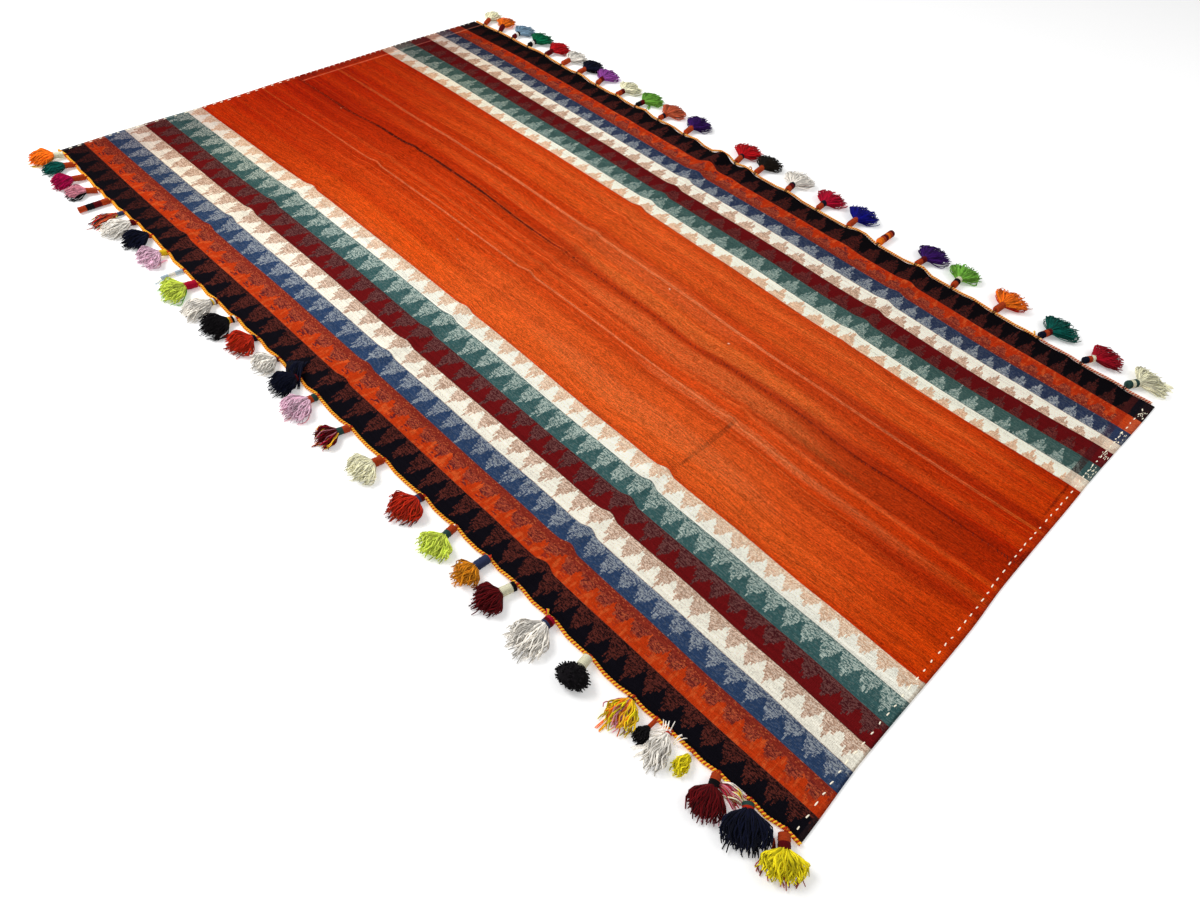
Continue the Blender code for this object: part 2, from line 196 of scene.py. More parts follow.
LEFT_TASSELS = tassels(
    (1325, 12, 28, 10, 62, 82, 32, "orange", "cream", "yellow scarlet orange orange orange", 0.4),
    (1262, 8, 26, 9, 58, 50, 27, "teal", "rust"),
    (1183, 6, 36, 9, 52, 70, 28, "magenta", "rust"),
    (1100, 22, 30, 9, 52, 58, 27, "black", "rust", "black black pink"),
    (1034, 2, 84, 9.5, 0, 0, 0, "rust", "rust maroon black rust", ""),
    (963, -6, 20, 6, 78, 46, 18, "rust", "slate_blue",
     "black lime rust terracotta scarlet pale_blue"),
    (899, 0, 16, 9, 74, 72, 28, "white", "maroon"),
    (820, 0, 8, 9, 62, 78, 30, "navy", "rust", "black navy navy"),
    (727, 0, 20, 9, 52, 88, 32, "lilac", "yellow"),
    (636, 3, 58, 6, 0, 0, 0, "pale_blue", "pale_blue white pale_blue", ""),
    (561, 6, 32, 11, 56, 94, 30, "lime", "crimson", "leaf lime lime lime"),
    (472, -4, 16, 9.5, 74, 70, 28, "white", "maroon white yellow navy"),
    (381, 3, 22, 9.5, 64, 86, 32, "black", "white black orange yellow"),
    (289, 3, 12, 9.5, 60, 86, 32, "red", "navy", "rust red rust red", 0.4),
    (194, 4, 8, 8, 52, 76, 26, "white", "maroon"),
    (106, 4, 8, 11, 58, 72, 34, "navy", "maroon", "black navy navy"),
    (27, -4, 24, 10, 62, 80, 32, "lilac", "slate rust", "pink lilac lilac lilac"),
    (-102, 11, 30, 9.5, 50, 64, 26, "maroon", "rust slate",
     "maroon crimson maroon gold maroon maroon pink maroon maroon"),
    (-226, 7, 24, 11, 56, 86, 26, "cream", "rust", "cream", 0.4),
    (-365, -2, 18, 10.5, 64, 88, 30, "red", "maroon slate_blue", "maroon red rust red", 0.5),
    (-472, -11, 34, 9.5, 54, 78, 28, "lime", "rust slate", "lime", 0.35),
    (-578, 1, 36, 11, 50, 62, 27, "mustard", "slate_blue", "mustard", 0.6),
    (-664, 12, 36, 11, 58, 74, 28, "maroon", "black cream cream cream", "maroon", 0.45),
    (-768, -1, 22, 12, 76, 84, 26, "white", "crimson maroon slate_blue"),
    (-874, -11, 26, 11, 52, 70, 35, "black", "cream", "black", 0.9),
    (-988, -12, 8, 9, 60, 64, 27, "yellow", "navy",
     "yellow gold lemon yellow pink yellow lemon yellow orange"),
    (-1045, -2, 22, 4.5, 36, 26, 18, "black", "rust"),
    (-1078, -12, 12, 7, 68, 46, 24, "white", "red white red"),
    (-1130, -4, 10, 5, 40, 26, 18, "yellow", "white", "lemon"),
    (-1187, -20, 28, 10, 56, 70, 30, "maroon", "rust black", "pink maroon maroon maroon"),
    (-1256, -33, 16, 11, 66, 88, 34, "navy", "slate red", "black navy"),
    (-1330, -35, 30, 11.5, 50, 84, 30, "yellow", "rust maroon",
     "blush blush lemon lemon lemon", 0.36))
RIGHT_TASSELS = tassels(
    (1327, 24, 34, 9, 64, 62, 28, "cream", "rust"),
    (1250, 30, 30, 9.5, 70, 72, 30, "orange", "maroon"),
    (1178, 10, 34, 9, 70, 80, 28, "sky", "maroon white black"),
    (1092, 3, 34, 9.5, 72, 88, 32, "green", "black white black"),
    (1000, 0, 34, 9.5, 70, 84, 32, "scarlet", "maroon"),
    (911, 0, 38, 9.5, 70, 82, 30, "white", "rust"),
    (826, -3, 34, 9.5, 74, 78, 32, "navy", "rust", "black navy"),
    (728, 12, 34, 9.5, 70, 84, 32, "violet", "rust maroon"),
    (627, 0, 36, 9.5, 66, 88, 28, "cream", "rust maroon"),
    (533, -10, 34, 9, 72, 88, 32, "leaf", "black maroon"),
    (421, -2, 34, 9.5, 72, 90, 30, "terracotta", "rust navy rust"),
    (301, 3, 36, 10, 80, 90, 34, "indigo", "rust"),
    (74, 8, 36, 10, 79, 98, 34, "scarlet", "rust rust navy"),
    (-9, 2, 36, 10, 79, 88, 32, "olive", "rust"),
    (-138, 7, 36, 10.5, 81, 100, 32, "white", "rust maroon navy"),
    (-262, 0, 34, 10, 75, 98, 34, "crimson", "rust navy"),
    (-379, -1, 38, 10, 79, 98, 34, "royal", "rust"),
    (-492, 0, 74, 12, 0, 0, 0, "rust", "orange rust maroon orange rust maroon", ""),
    (-626, -10, 38, 10, 79, 100, 34, "indigo", "rust maroon"),
    (-754, 4, 38, 10.5, 75, 94, 32, "leaf", "rust black cream"),
    (-893, -8, 34, 10.5, 79, 102, 32, "red", "rust", "red orange"),
    (-1033, -20, 38, 10.5, 79, 108, 32, "teal", "navy rust maroon"),
    (-1162, -34, 34, 10, 77, 92, 32, "maroon", "navy rust cream", "garnet maroon garnet"),
    (-1286, -30, 42, 12, 67, 106, 30, "cream", "slate cream slate cream"))
print(len(LEFT_TASSELS), "tassels on the left,", len(RIGHT_TASSELS), "on the right")

# %% Edges, and the place of any point of the cloth


def left_x(y):
    """Left edge of the cloth, drawn in a little where each tassel is sewn on."""
    drawn = max(hump(y - row.y * MM, DRAW_REACH) for row in LEFT_TASSELS)
    return along(LEFT_X, y) + TASSEL_DRAW * drawn


def right_x(y):
    return along(RIGHT_X, y)


def seam_x(y):
    return along(SEAM_X, y)


def cloth_y(x, share_up):
    """Height up the rug, between the two uneven ends."""
    return mix(along(NEAR_END_Y, x), along(FAR_END_Y, x), share_up)


def edge_point(outer_x, share_up):
    x = outer_x(mix(NEAR_Y, FAR_Y, share_up))
    y = cloth_y(x, share_up)
    return Vector((x, y, cloth_height(x, y)))


print("width at the middle", round(right_x(0.0) - left_x(0.0), 3), "m")

# %% [markdown]
# ## The camera
# The rug is seen from a standing person's height, over its left near corner. The camera comes
# first, so that every later step can be looked at from the same place.

# %% Camera


def add_object(name, data):
    """A new object in the scene."""
    made = bpy.data.objects.new(name, data)
    bpy.context.scene.collection.objects.link(made)
    return made


view = bpy.data.cameras.new("camera")
view.lens = 26.27
view.sensor_width = 36.0
camera = add_object("camera", view)
camera.location = (-1.47777, -1.35025, 1.50883)
camera.rotation_euler = [math.radians(angle) for angle in (41.381, -5.395, -45.528)]
bpy.context.scene.camera = camera
bpy.context.scene.view_settings.view_transform = "Standard"
print("camera stands", round(camera.location.z, 2), "m above the floor")

# %% [markdown]
# ## Helpers for shader nodes
# A finish in Blender is a tree of nodes. Adding and joining them takes many lines, so two small
# classes shorten it. A Wire is one output of a node: a sum written with wires adds the math nodes
# that work it out. A colour is given as a dyer's sample, red, green and blue from 0 to 255, and
# turned into the linear light that Blender works in.

# %% Node helpers


def dye(red, green, blue):
    """A colour sample as linear light."""
    parts = []
    for part in (red, green, blue):
        part /= 255.0
        parts.append(part / 12.92 if part <= 0.04045 else ((part + 0.055) / 1.055) ** 2.4)
    return (*parts, 1.0)


def sum_of(operation, swapped=False):
    """A way to write one math node as a sign between two values."""
    def add_node(wire, other):
        values = (other, wire) if swapped else (wire, other)
        return wire.nodes.math(operation, *values)
    return add_node


class Wire:
    """An output of a node, which can be used in a sum."""

    def __init__(self, nodes, socket):
        self.nodes, self.socket = nodes, socket

    __add__ = sum_of("ADD")
    __sub__, __rsub__ = sum_of("SUBTRACT"), sum_of("SUBTRACT", True)
    __mul__, __truediv__ = sum_of("MULTIPLY"), sum_of("DIVIDE")
    __gt__, __lt__ = sum_of("GREATER_THAN"), sum_of("LESS_THAN")

    def __abs__(self):
        return self.nodes.math("ABSOLUTE", self)


class Nodes:
    """Adds shader nodes to one tree and joins them."""

    def __init__(self, tree):
        self.tree = tree

    def join(self, value, socket):
        if isinstance(value, Wire):
            self.tree.links.new(value.socket, socket)
        elif value is not None:
            socket.default_value = value

    def add(self, kind, *values, output=0, **settings):
        """A node's output. A setting with a capital letter is one of the node's inputs."""
        node = self.tree.nodes.new("ShaderNode" + kind)
        for name, value in settings.items():
            if name[0].isupper():
                self.join(value, node.inputs[name])
            else:
                setattr(node, name, value)
        for value, socket in zip(values, node.inputs):
            self.join(value, socket)
        return Wire(self, node.outputs[output])

    def named(self, sockets):
        return {socket.name: Wire(self, socket) for socket in sockets}

    def math(self, operation, *values):
        return self.add("Math", *values, operation=operation)

    def ease(self, value, start, end, low=0.0, high=1.0):
        """Turn start..end into low..high with level ends."""
        return self.add("MapRange", value, start, end, low, high, interpolation_type="SMOOTHSTEP")

    def between(self, value, low, high, soft):
        """1 between two values, with soft ends."""
        rise = self.ease(value, low - soft, low + soft)
        return rise * self.ease(value, high + soft, high - soft)

    def blend(self, share, low, high, how="MIX"):
        """Mix two colours, the node's inputs 6 and 7."""
        return self.add("Mix", share, *[None] * 5, low, high, data_type="RGBA", blend_type=how,
                        output=2)

    def paint(self, colour, share, sample, how="MIX"):
        """Lay a dyer's sample over a colour, by its share."""
        return self.blend(share, colour, dye(*sample), how)

    def ramp(self, value, stops, how="CONSTANT"):
        wire = self.add("ValToRGB", value)
        ramp = wire.socket.node.color_ramp
        ramp.interpolation = how
        for index, (place, colour) in enumerate(stops):
            point = ramp.elements[index] if index < 2 else ramp.elements.new(place)
            point.position = place
            point.color = colour
        return wire

    def stretch(self, vector, across, run, shift=0.0):
        """Scale a map differently across and along."""
        return self.add("Mapping", vector, (shift, shift, 0.0), None, (across, run, 1.0))

    def noise(self, vector, scale=1.0, detail=2.0, rough=0.5):
        return self.add("TexNoise", vector, Scale=scale, Detail=detail, Roughness=rough,
                        noise_dimensions="3D", output="Fac")

    def chance(self, *vector):
        """A random number for each whole-numbered place."""
        place = self.add("CombineXYZ", *vector)
        return self.add("TexWhiteNoise", place, noise_dimensions="3D", output="Value")

    def spot(self, vector, x, y, wide, long):
        """A soft oval mask on a map, 1 in its middle."""
        shift = (-x / wide, -y / long, 0.0)
        place = self.add("Mapping", vector, shift, None, (1.0 / wide, 1.0 / long, 0.0))
        away = self.add("VectorMath", place, operation="LENGTH", output=1)
        return self.ease(away, 1.0, 0.55)

    def split(self, vector):
        """The first two numbers of a vector."""
        parts = self.add("SeparateXYZ", vector).socket.node.outputs
        return Wire(self, parts[0]), Wire(self, parts[1])

    def floats(self, vector, warp, run):
        """A random number for each float of yarn. On each warp they start by chance."""
        x, y = self.split(vector)
        number = self.math("FLOOR", x / warp)
        start = self.chance(number, 3.0, warp)
        return self.chance(number, self.math("FLOOR", y / run + start))

    def group(self, group, **values):
        """The outputs of a group, by name."""
        return self.named(self.add("Group", node_tree=group, **values).socket.node.outputs)


def shader_group(name, inputs, outputs):
    """A new node group with named sockets: its node helper, its inputs and its outputs."""
    tree = bpy.data.node_groups.new(name, "ShaderNodeTree")
    for in_out, sockets in (("INPUT", inputs), ("OUTPUT", outputs)):
        for label, kind in sockets.items():
            tree.interface.new_socket(name=label, in_out=in_out, socket_type="NodeSocket" + kind)
    source = tree.nodes.new("NodeGroupInput")
    target = tree.nodes.new("NodeGroupOutput")
    nodes = Nodes(tree)
    return tree, nodes, nodes.named(source.outputs), target.inputs


def wool_material(name, roughness, sheen, gloss=0.08):
    """A material with its shader's constant values set: dry, matt wool."""
    material = bpy.data.materials.new(name)
    material.use_nodes = True
    shader = material.node_tree.nodes["Principled BSDF"]
    for label, value in (("Roughness", roughness), ("Specular IOR Level", gloss),
                         ("Sheen Weight", sheen), ("Sheen Roughness", 0.5)):
        shader.inputs[label].default_value = value
    return material, shader, Nodes(material.node_tree)


def finish_wool(nodes, shader, colour, height, depth):
    """Feed a colour and a bump height to the shader."""
    bump = nodes.add("Bump", Strength=1.0, Distance=depth, Height=height)
    nodes.join(colour, shader.inputs["Base Color"])
    nodes.join(bump, shader.inputs["Normal"])


print("helpers ready")

# %% [markdown]
# ## Effects of the weave
# In a warp-faced cloth the lengthwise threads hide the crosswise ones. Four effects make its
# look: the ribs of the threads, the uneven dye that runs along them, the heather of two colours
# in turn, and the stepped fir-trees of the bands. Each one is a group, so that both panels use
# the same recipe with their own values.

# %% Ribs of the warp
WARP_PITCH = 0.0021       # one warp
WEFT_PITCH = 0.0034       # one pick of weft
WARP_RIBS, knit, given, out = shader_group(
    "warp_ribs", {"Cloth": "Vector"}, {"Height": "Float", "Shade": "Float"})
x, y = knit.split(given["Cloth"])
wander = knit.noise(knit.stretch(given["Cloth"], 60.0, 9.0), detail=1.0)
rib = knit.math("SINE", x * (2.0 * math.pi / WARP_PITCH) + wander * 7.0) * 0.5 + 0.5
pick = knit.math("SINE", y * (2.0 * math.pi / WEFT_PITCH) + wander * 9.0) * 0.5 + 0.5
fuzz = knit.noise(given["Cloth"], 900.0, 2.0)
height = rib * 0.62 + pick * 0.25 + fuzz * 0.35
knit.join(height, out["Height"])
# Shade: painted shade, darker in the grooves between ribs and picks
knit.join(knit.ease(height, 0.10, 0.95, 0.80, 1.08), out["Shade"])
print("group", WARP_RIBS.name)

# %% Uneven dye, in streaks along the warp
UNEVEN_DYE, knit, given, out = shader_group(
    "uneven_dye", {"Cloth": "Vector", "Amount": "Float", "Grain": "Float"}, {"Tone": "Float"})
cloth = given["Cloth"]
broad = knit.noise(knit.stretch(cloth, 26.0, 0.7), detail=3.0, rough=0.75)
thread = knit.noise(knit.stretch(cloth, 240.0, 3.2), detail=3.0, rough=0.85)
patch = knit.noise(cloth, 5.0, 3.0)
grain = knit.noise(knit.stretch(cloth, 300.0, 260.0), detail=2.0, rough=0.9)
own = knit.floats(cloth, 0.0022, 0.0036) + knit.floats(cloth, 0.0017, 0.0150) - 1.0
warp = knit.floats(cloth, 0.0029, 0.14) * 0.20 - 0.10
streak = patch * 0.3 + (broad * 0.9 + thread * 0.6) - 0.9
tone = streak * given["Amount"] + knit.ease(grain, 0.32, 0.64, 0.86, 1.20)
knit.join(tone + (own * (given["Grain"] * 0.62) + warp), out["Tone"])
print("group", UNEVEN_DYE.name)

# %% Heather: light and dark warps in turn, each float of yarn a cell of its own
HEATHER, knit, given, out = shader_group(
    "heather", {"Cloth": "Vector", "Light": "Color", "Dark": "Color"}, {"Color": "Color"})
cloth = given["Cloth"]
dashes = knit.noise(knit.stretch(cloth, 330.0, 60.0), detail=1.0, rough=0.7)
share = knit.floats(cloth, 0.0017, 0.0031) * 0.66 + knit.ease(dashes, 0.38, 0.62, 0.0, 0.34)
share = knit.ease(share, 0.30, 0.70)
knit.join(knit.blend(share, given["Light"], given["Dark"]), out["Color"])
print("group", HEATHER.name)

# %% [markdown]
# ## Stepped trees
# Each band carries a row of fir-trees. A tree's foot lies along the inner side of the band and
# its tip points to the rug's edge. The weaver builds it in steps, a few picks at a time, so its
# sides are short straight runs. The group reads two numbers: how far across the band a point
# lies, and how many trees along. A ramp with sharp steps gives the width of the tree there, and
# each pick adds a little of its own, as a hand-picked pattern does.

# %% Trees
STEPPED_TREES, knit, given, out = shader_group(
    "stepped_trees",
    {"Across": "Float", "Run": "Float", "Cloth": "Vector", "Foot": "Float", "Fuller": "Float"},
    {"Tree": "Float"})
PICKS = 15.0              # steps of the pattern in one tree
WARPS = 24.0              # warps across one band
BANDS_A_METRE = 15.0
TREE_STEPS = (
    (0.0, 0.96), (0.08, 0.84), (0.17, 0.72), (0.26, 0.58), (0.33, 0.64), (0.42, 0.52),
    (0.54, 0.41), (0.66, 0.29), (0.78, 0.17), (0.90, 0.03))
pick = knit.math("FLOOR", given["Run"] * PICKS)
band = knit.math("FLOOR", knit.split(given["Cloth"])[0] * BANDS_A_METRE)
warp = knit.math("FLOOR", given["Across"] * WARPS)
from_middle = abs(knit.math("FRACT", (pick + 0.5) / PICKS) * 2.0 - 1.0)
reach = knit.ramp(from_middle, [(at, (value, value, value, 1.0)) for at, value in TREE_STEPS])
reach = reach + given["Fuller"] + (knit.chance(pick, band) * 0.26 - 0.13)
reach = reach + (knit.chance(pick, warp, band) * 0.08 - 0.04)
reach = given["Foot"] + reach * (1.0 - given["Foot"])
knit.join(reach > 1.0 - (warp + 0.5) / WARPS, out["Tree"])
print("group", STEPPED_TREES.name, "with", len(TREE_STEPS), "steps a side")

# %% [markdown]
# ## The striped cloth
# A cloth map tells the shader where a point lies in the weave. "Bands" counts the bands from the
# edge inward, with the part after the point saying how far across the band, and counts the
# trees along. "Cloth" is the same place in metres, for the threads. Sharp ramps on the band
# count hold the yarn colours, so a stripe always follows its warps, however the cloth wanders.

# %% Colours of the bands, from the edge inward
BAND_NAMES = ("black", "orange", "navy", "white", "maroon", "teal", "inner white")
BAND_GROUND = (
    (14, 12, 19), (197, 58, 16), (45, 66, 100), (255, 249, 231), (109, 18, 20), (57, 92, 92),
    (255, 252, 236))
RIGHT_GROUND = (
    (10, 7, 11), (188, 49, 13), (44, 55, 82), (255, 248, 230), (101, 14, 17), (60, 88, 84),
    (255, 252, 232))
BAND_LIGHT = (
    (92, 41, 34), (172, 72, 48), (154, 161, 168), (238, 212, 190), (110, 67, 64), (182, 196, 186),
    (250, 226, 200))
RIGHT_LIGHT = (
    (80, 31, 26), BAND_LIGHT[1], (158, 162, 162), (234, 202, 176), (112, 48, 44), (158, 173, 161),
    (248, 212, 178))
BAND_DARK = (
    (29, 14, 16), (108, 36, 32), (66, 80, 108), (182, 144, 120), (72, 24, 28), (74, 106, 104),
    (220, 176, 142))
BAND_SPECK = (
    (74, 44, 42), (226, 116, 66), (196, 198, 204), (186, 120, 92), (138, 60, 52), (206, 214, 204),
    (200, 132, 98))
FIELD_START = len(BAND_NAMES)
BAND_SPAN = 8.5           # a ramp holds 256 colours: this puts each band on a whole one
HALF_STEP = 0.5 / 255.0
PLAIN_FIELD = (206, 72, 24)
RIB_DEPTH = 0.0009        # how deep the bump of the ribs is


def band_stops(samples):
    """Sharp stops that change colour just where a band starts. An eighth is the field's."""
    samples = (*samples, PLAIN_FIELD)[:FIELD_START + 1]
    return [(max(index / BAND_SPAN - HALF_STEP, 0.0), dye(*sample))
            for index, sample in enumerate(samples)]


# stripes of the field: place from the last band to the seam, and a sample
LEFT_FIELD = (
    (0.00, (206, 62, 10)), (0.05, (222, 82, 20)), (0.17, (220, 80, 18)), (0.22, (206, 64, 12)),
    (0.33, (214, 74, 18)), (0.47, (204, 60, 10)), (0.488, (200, 58, 8)), (0.494, (232, 122, 76)),
    (0.503, (232, 122, 76)), (0.509, (204, 62, 10)), (0.62, (210, 66, 14)), (0.66, (220, 84, 30)),
    (0.69, (204, 60, 10)), (0.85, (200, 58, 10)), (1.00, (190, 52, 6)))
RIGHT_FIELD = (
    (0.00, (200, 58, 10)), (0.06, (208, 68, 16)), (0.13, (222, 90, 32)), (0.20, (210, 70, 18)),
    (0.36, (216, 80, 22)), (0.42, (200, 58, 8)), (0.482, (202, 60, 12)), (0.488, (230, 132, 86)),
    (0.493, (230, 132, 86)), (0.498, (206, 70, 22)), (0.503, (230, 132, 86)),
    (0.508, (230, 132, 86)), (0.515, (198, 56, 8)), (0.64, (204, 62, 12)), (0.70, (214, 78, 24)),
    (0.80, (208, 66, 14)), (0.86, (192, 50, 6)), (1.00, (188, 50, 6)))
print(", ".join(BAND_NAMES), "and the field")

# %% Where a point lies in the weave
Place = namedtuple("Place", "cloth y count across run key in_bands in_field in_orange")
Look = namedtuple("Look", "field ground light marks blocks flecks foot lower fuller specks")


def cloth_place(knit):
    """The two maps taken apart, with masks for the bands, the field and the orange band."""
    cloth = knit.add("UVMap", uv_map="Cloth")
    count, run = knit.split(knit.add("UVMap", uv_map="Bands"))
    in_bands = count < FIELD_START
    return Place(cloth, knit.split(cloth)[1], count, knit.math("FRACT", count), run,
                 count / BAND_SPAN, in_bands, 1.0 - in_bands, (count > 1.0) * (count < 2.0))


print("a place has", len(Place._fields), "values and a look has", len(Look._fields))

# %% Bands: trees of heathered yarn on the ground colour of each band


def paint_bands(knit, at, look):
    foot = knit.ease(at.y, -0.95, -0.45, look.foot, 0.0)
    foot = knit.math("MAXIMUM", foot, at.in_orange * 0.24)
    fuller = knit.ease(at.y, 0.10, 0.45, 0.0, look.fuller)
    fuller = at.in_orange * 0.07 + (knit.ease(at.y, -0.60, -1.15, 0.0, -look.lower) + fuller)
    tree = knit.group(STEPPED_TREES, Across=at.across, Run=at.run, Cloth=at.cloth, Foot=foot,
                      Fuller=fuller)["Tree"]
    ground, light, dark, odd = [knit.ramp(at.key, band_stops(samples)) for samples in (
        look.ground, look.light, BAND_DARK, BAND_SPECK)]
    heather = knit.group(HEATHER, Cloth=at.cloth, Light=light, Dark=dark)["Color"]
    colour = knit.blend(tree * at.in_bands, ground, heather)

    # orange band: redder feet, and where the tips of its trees would be, it is plain with pale
    # blotches and dark dashes
    blotch = knit.noise(knit.stretch(at.cloth, 34.0, 80.0, 4.1), detail=2.0)
    dash = knit.noise(knit.stretch(at.cloth, 210.0, 62.0, 7.7), detail=0.0)
    tip = knit.ease(at.across, 0.08, 0.14) * knit.ease(at.across, 0.52, 0.40)
    tip = tip * knit.ease(abs(knit.math("FRACT", at.run) - 0.5), 0.24, 0.14)
    for share, sample in (
        (knit.ease(at.across, 0.64, 0.82, 0.0, 0.74), (134, 40, 27)),
        (knit.ease(at.across, 0.40, 0.30), look.ground[1]),
        (knit.ease(blotch, 0.48, 0.64, 0.0, 0.5) * (1.0 - tree), (226, 104, 50)),
        (tip * knit.ease(dash, 0.50, 0.56) * knit.ease(at.y, -0.90, -0.30, 0.30, 1.0) * 0.95,
         (96, 34, 38)),
    ):
        colour = knit.paint(colour, share * at.in_orange, sample)

    # towards the near end, odd floats of the other yarn show through, and floats of the light
    # yarn show in the bands of cool colours
    often = knit.ease(at.y, -0.60, -1.15, 0.30 * look.specks, look.specks)
    speck = (knit.floats(at.cloth, 0.0021, 0.0038) > 0.89) * (at.in_bands * tree)
    speck = speck * knit.math("MAXIMUM", often, at.in_orange * 0.40)
    colour = knit.blend(speck, colour, odd)
    cool = at.in_bands * (abs(abs(at.count - 4.0) - 1.5) < 0.5)
    pale = (knit.floats(at.cloth, 0.0023, 0.0050) > 0.74) * cool * (tree * -0.10 + 0.10)
    colour = knit.blend(pale, colour, light)

    # the dark band's trees are fainter towards the far end
    faint = (at.count < 1.0) * knit.ease(at.y, 0.60, 1.10, 0.0, 0.42)
    return knit.blend(faint, colour, ground)


# %% Field: stripes of one dye bath after another


def paint_field(knit, at, look):
    key = (at.count - FIELD_START) / 2.0
    colour = knit.ramp(key, [(place, dye(*sample)) for place, sample in look.field], "LINEAR")
    pins = knit.noise(knit.stretch(at.cloth, 170.0, 0.8, 1.3), detail=2.0, rough=0.7)
    colour = knit.paint(colour, knit.ease(pins, 0.57, 0.66, 0.0, 0.45), (232, 112, 52))
    colour = knit.paint(colour, knit.ease(pins, 0.43, 0.34, 0.0, 0.45), (172, 42, 6))
    for low, high, start, fade, sample, amount in look.marks:
        inside = knit.between(key, low, high, 0.02) * knit.ease(at.y, start, start + fade)
        colour = knit.paint(colour, inside * amount, sample)
    broken = knit.ease(knit.noise(at.cloth, 210.0, 1.0), 0.36, 0.58, 0.35, 1.3)
    for x, y, wide, long, sample, amount in look.flecks:
        fleck = knit.spot(at.cloth, x, y, wide, long) * (broken * amount)
        colour = knit.paint(colour, fleck, sample)

    # the pale lines in its middle have worn through in places
    wear = knit.noise(knit.stretch(at.cloth, 300.0, 30.0, 2.2), detail=2.0, rough=0.8)
    on_line = knit.ease(abs(key - 0.499), 0.030, 0.012)
    return knit.paint(colour, knit.ease(wear, 0.40, 0.62, 0.0, 0.55) * on_line, (204, 74, 24))


# %% Whole cloth: fading, plain blocks at the ends, and the relief of the threads


def cloth_material(name, look):
    material, shader, knit = wool_material(name, roughness=0.95, sheen=0.0, gloss=0.03)
    at = cloth_place(knit)
    colour = paint_bands(knit, at, look)
    colour = knit.blend(at.in_field, colour, paint_field(knit, at, look))

    # the field is a little paler in its middle; it grows darker towards both ends, and the bands
    # grow darker towards the far end
    paler_middle = knit.ease(at.y, 0.35, 0.0) * knit.ease(at.y, -1.05, -0.75, 0.0, 0.05) * at.in_field
    colour = knit.paint(colour, paler_middle, (255, 156, 80))
    for start, end, sample, where in (
        (0.30, 1.35, (202, 142, 92), at.in_field), (-0.95, -1.36, (238, 192, 110), at.in_field),
        (0.45, 1.10, (240, 232, 224), at.in_bands), (1.02, 1.34, (218, 212, 220), at.in_bands),
    ):
        colour = knit.paint(colour, knit.ease(at.y, start, end) * where, sample, "MULTIPLY")

    # dark line of the first warps inside each band edge
    rim = knit.math("MINIMUM", at.across, 1.0 - at.across)
    colour = knit.paint(colour, knit.ease(rim, 0.035, 0.0, 0.0, 0.22) * at.in_bands, (70, 40, 32))

    # plain blocks at the ends, where the thread is worn in places
    for low, high, samples, amount, field_amount in look.blocks:
        inside = knit.between(at.y, low, high, 0.0015)
        inside = inside * (at.in_bands * (1.0 - field_amount) + field_amount)
        uneven = knit.floats(at.cloth, 0.0024, 0.0030) * (0.6 * amount) + 0.6 * amount
        colour = knit.blend(inside * uneven, colour, knit.ramp(at.key, band_stops(samples)))

    # the colour is scaled by the uneven dye and by the painted shade of the ribs
    tone = knit.group(UNEVEN_DYE, Cloth=at.cloth, Amount=at.in_bands * -0.24 + 0.64,
                      Grain=at.in_bands * -0.56 + 0.80)["Tone"]
    ribs = knit.group(WARP_RIBS, Cloth=at.cloth)
    colour = knit.blend(1.0, colour, tone * ribs["Shade"], "MULTIPLY")
    finish_wool(knit, shader, colour, ribs["Height"], RIB_DEPTH)
    return material


print("the cloth's finish is ready to be made, once for each panel")

# %% Marks and blocks of each panel
# shades of the field: from and to across it, y where they start and how they fade in, a sample,
# how strong
LEFT_MARKS = (
    (0.70, 0.98, -0.45, -0.35, (168, 52, 14), 0.55),
    (0.36, 0.48, -1.00, -0.15, (176, 52, 16), 0.6),
    (0.462, 0.530, -0.70, -0.30, (214, 92, 44), 0.75),
    (0.02, 0.40, 0.35, -0.25, (226, 92, 34), 0.40),
    (0.655, 0.690, -0.60, -0.30, (220, 102, 54), 0.4))
RIGHT_MARKS = (
    (0.40, 0.48, -0.60, -0.30, (172, 48, 16), 0.5),
    (0.70, 0.80, -0.60, -0.30, (216, 88, 38), 0.25), (0.88, 1.00, -0.40, -0.30, (166, 46, 14), 0.5))
# plain blocks at the ends: y from and to, a sample for each band and for the field, how strong,
# and how much of that in the field
LEFT_BLOCKS = (
    (1.360, 1.400, (
        (58, 54, 58), (150, 84, 64), (96, 104, 120), (206, 198, 186), (120, 84, 82),
        (120, 132, 128), (206, 198, 186), (168, 52, 20)), 0.75, 1.0),
    (-1.400, -1.350, (
        (40, 28, 30), (170, 46, 16), (40, 52, 84), (206, 190, 168), (84, 18, 20), (48, 76, 76),
        (206, 190, 168), (168, 46, 12)), 0.75, 0.8),
)
RIGHT_BLOCKS = (
    (-1.331, -1.313, (
        (66, 24, 24), (176, 46, 16), (58, 48, 70), (214, 186, 160), (84, 20, 24), (58, 48, 48),
        (214, 190, 166), (186, 58, 14)), 0.9, 0.0),
    (-1.348, -1.331, (
        (20, 18, 26), (210, 72, 28), (48, 60, 92), (238, 206, 178), (100, 18, 22), (54, 84, 84),
        (238, 206, 180), (180, 52, 12)), 0.9, 0.1),
    (-1.400, -1.348, (
        (36, 26, 30), (214, 96, 56), (52, 58, 84), (236, 214, 190), (100, 22, 26), (66, 84, 84),
        (236, 214, 190), (172, 46, 12)), 0.75, 0.8),
    (1.335, 1.340, (
        (150, 90, 76), (222, 120, 84), (150, 120, 118), (236, 190, 160), (170, 80, 70),
        (150, 140, 128), (238, 196, 168), (214, 104, 70)), 0.7, 1.0),
    (1.346, 1.400, (
        (26, 18, 22), (120, 36, 22), (70, 42, 48), (160, 108, 92), (84, 26, 26), (84, 62, 58),
        (170, 118, 98), (120, 26, 12)), 0.7, 1.0),
)
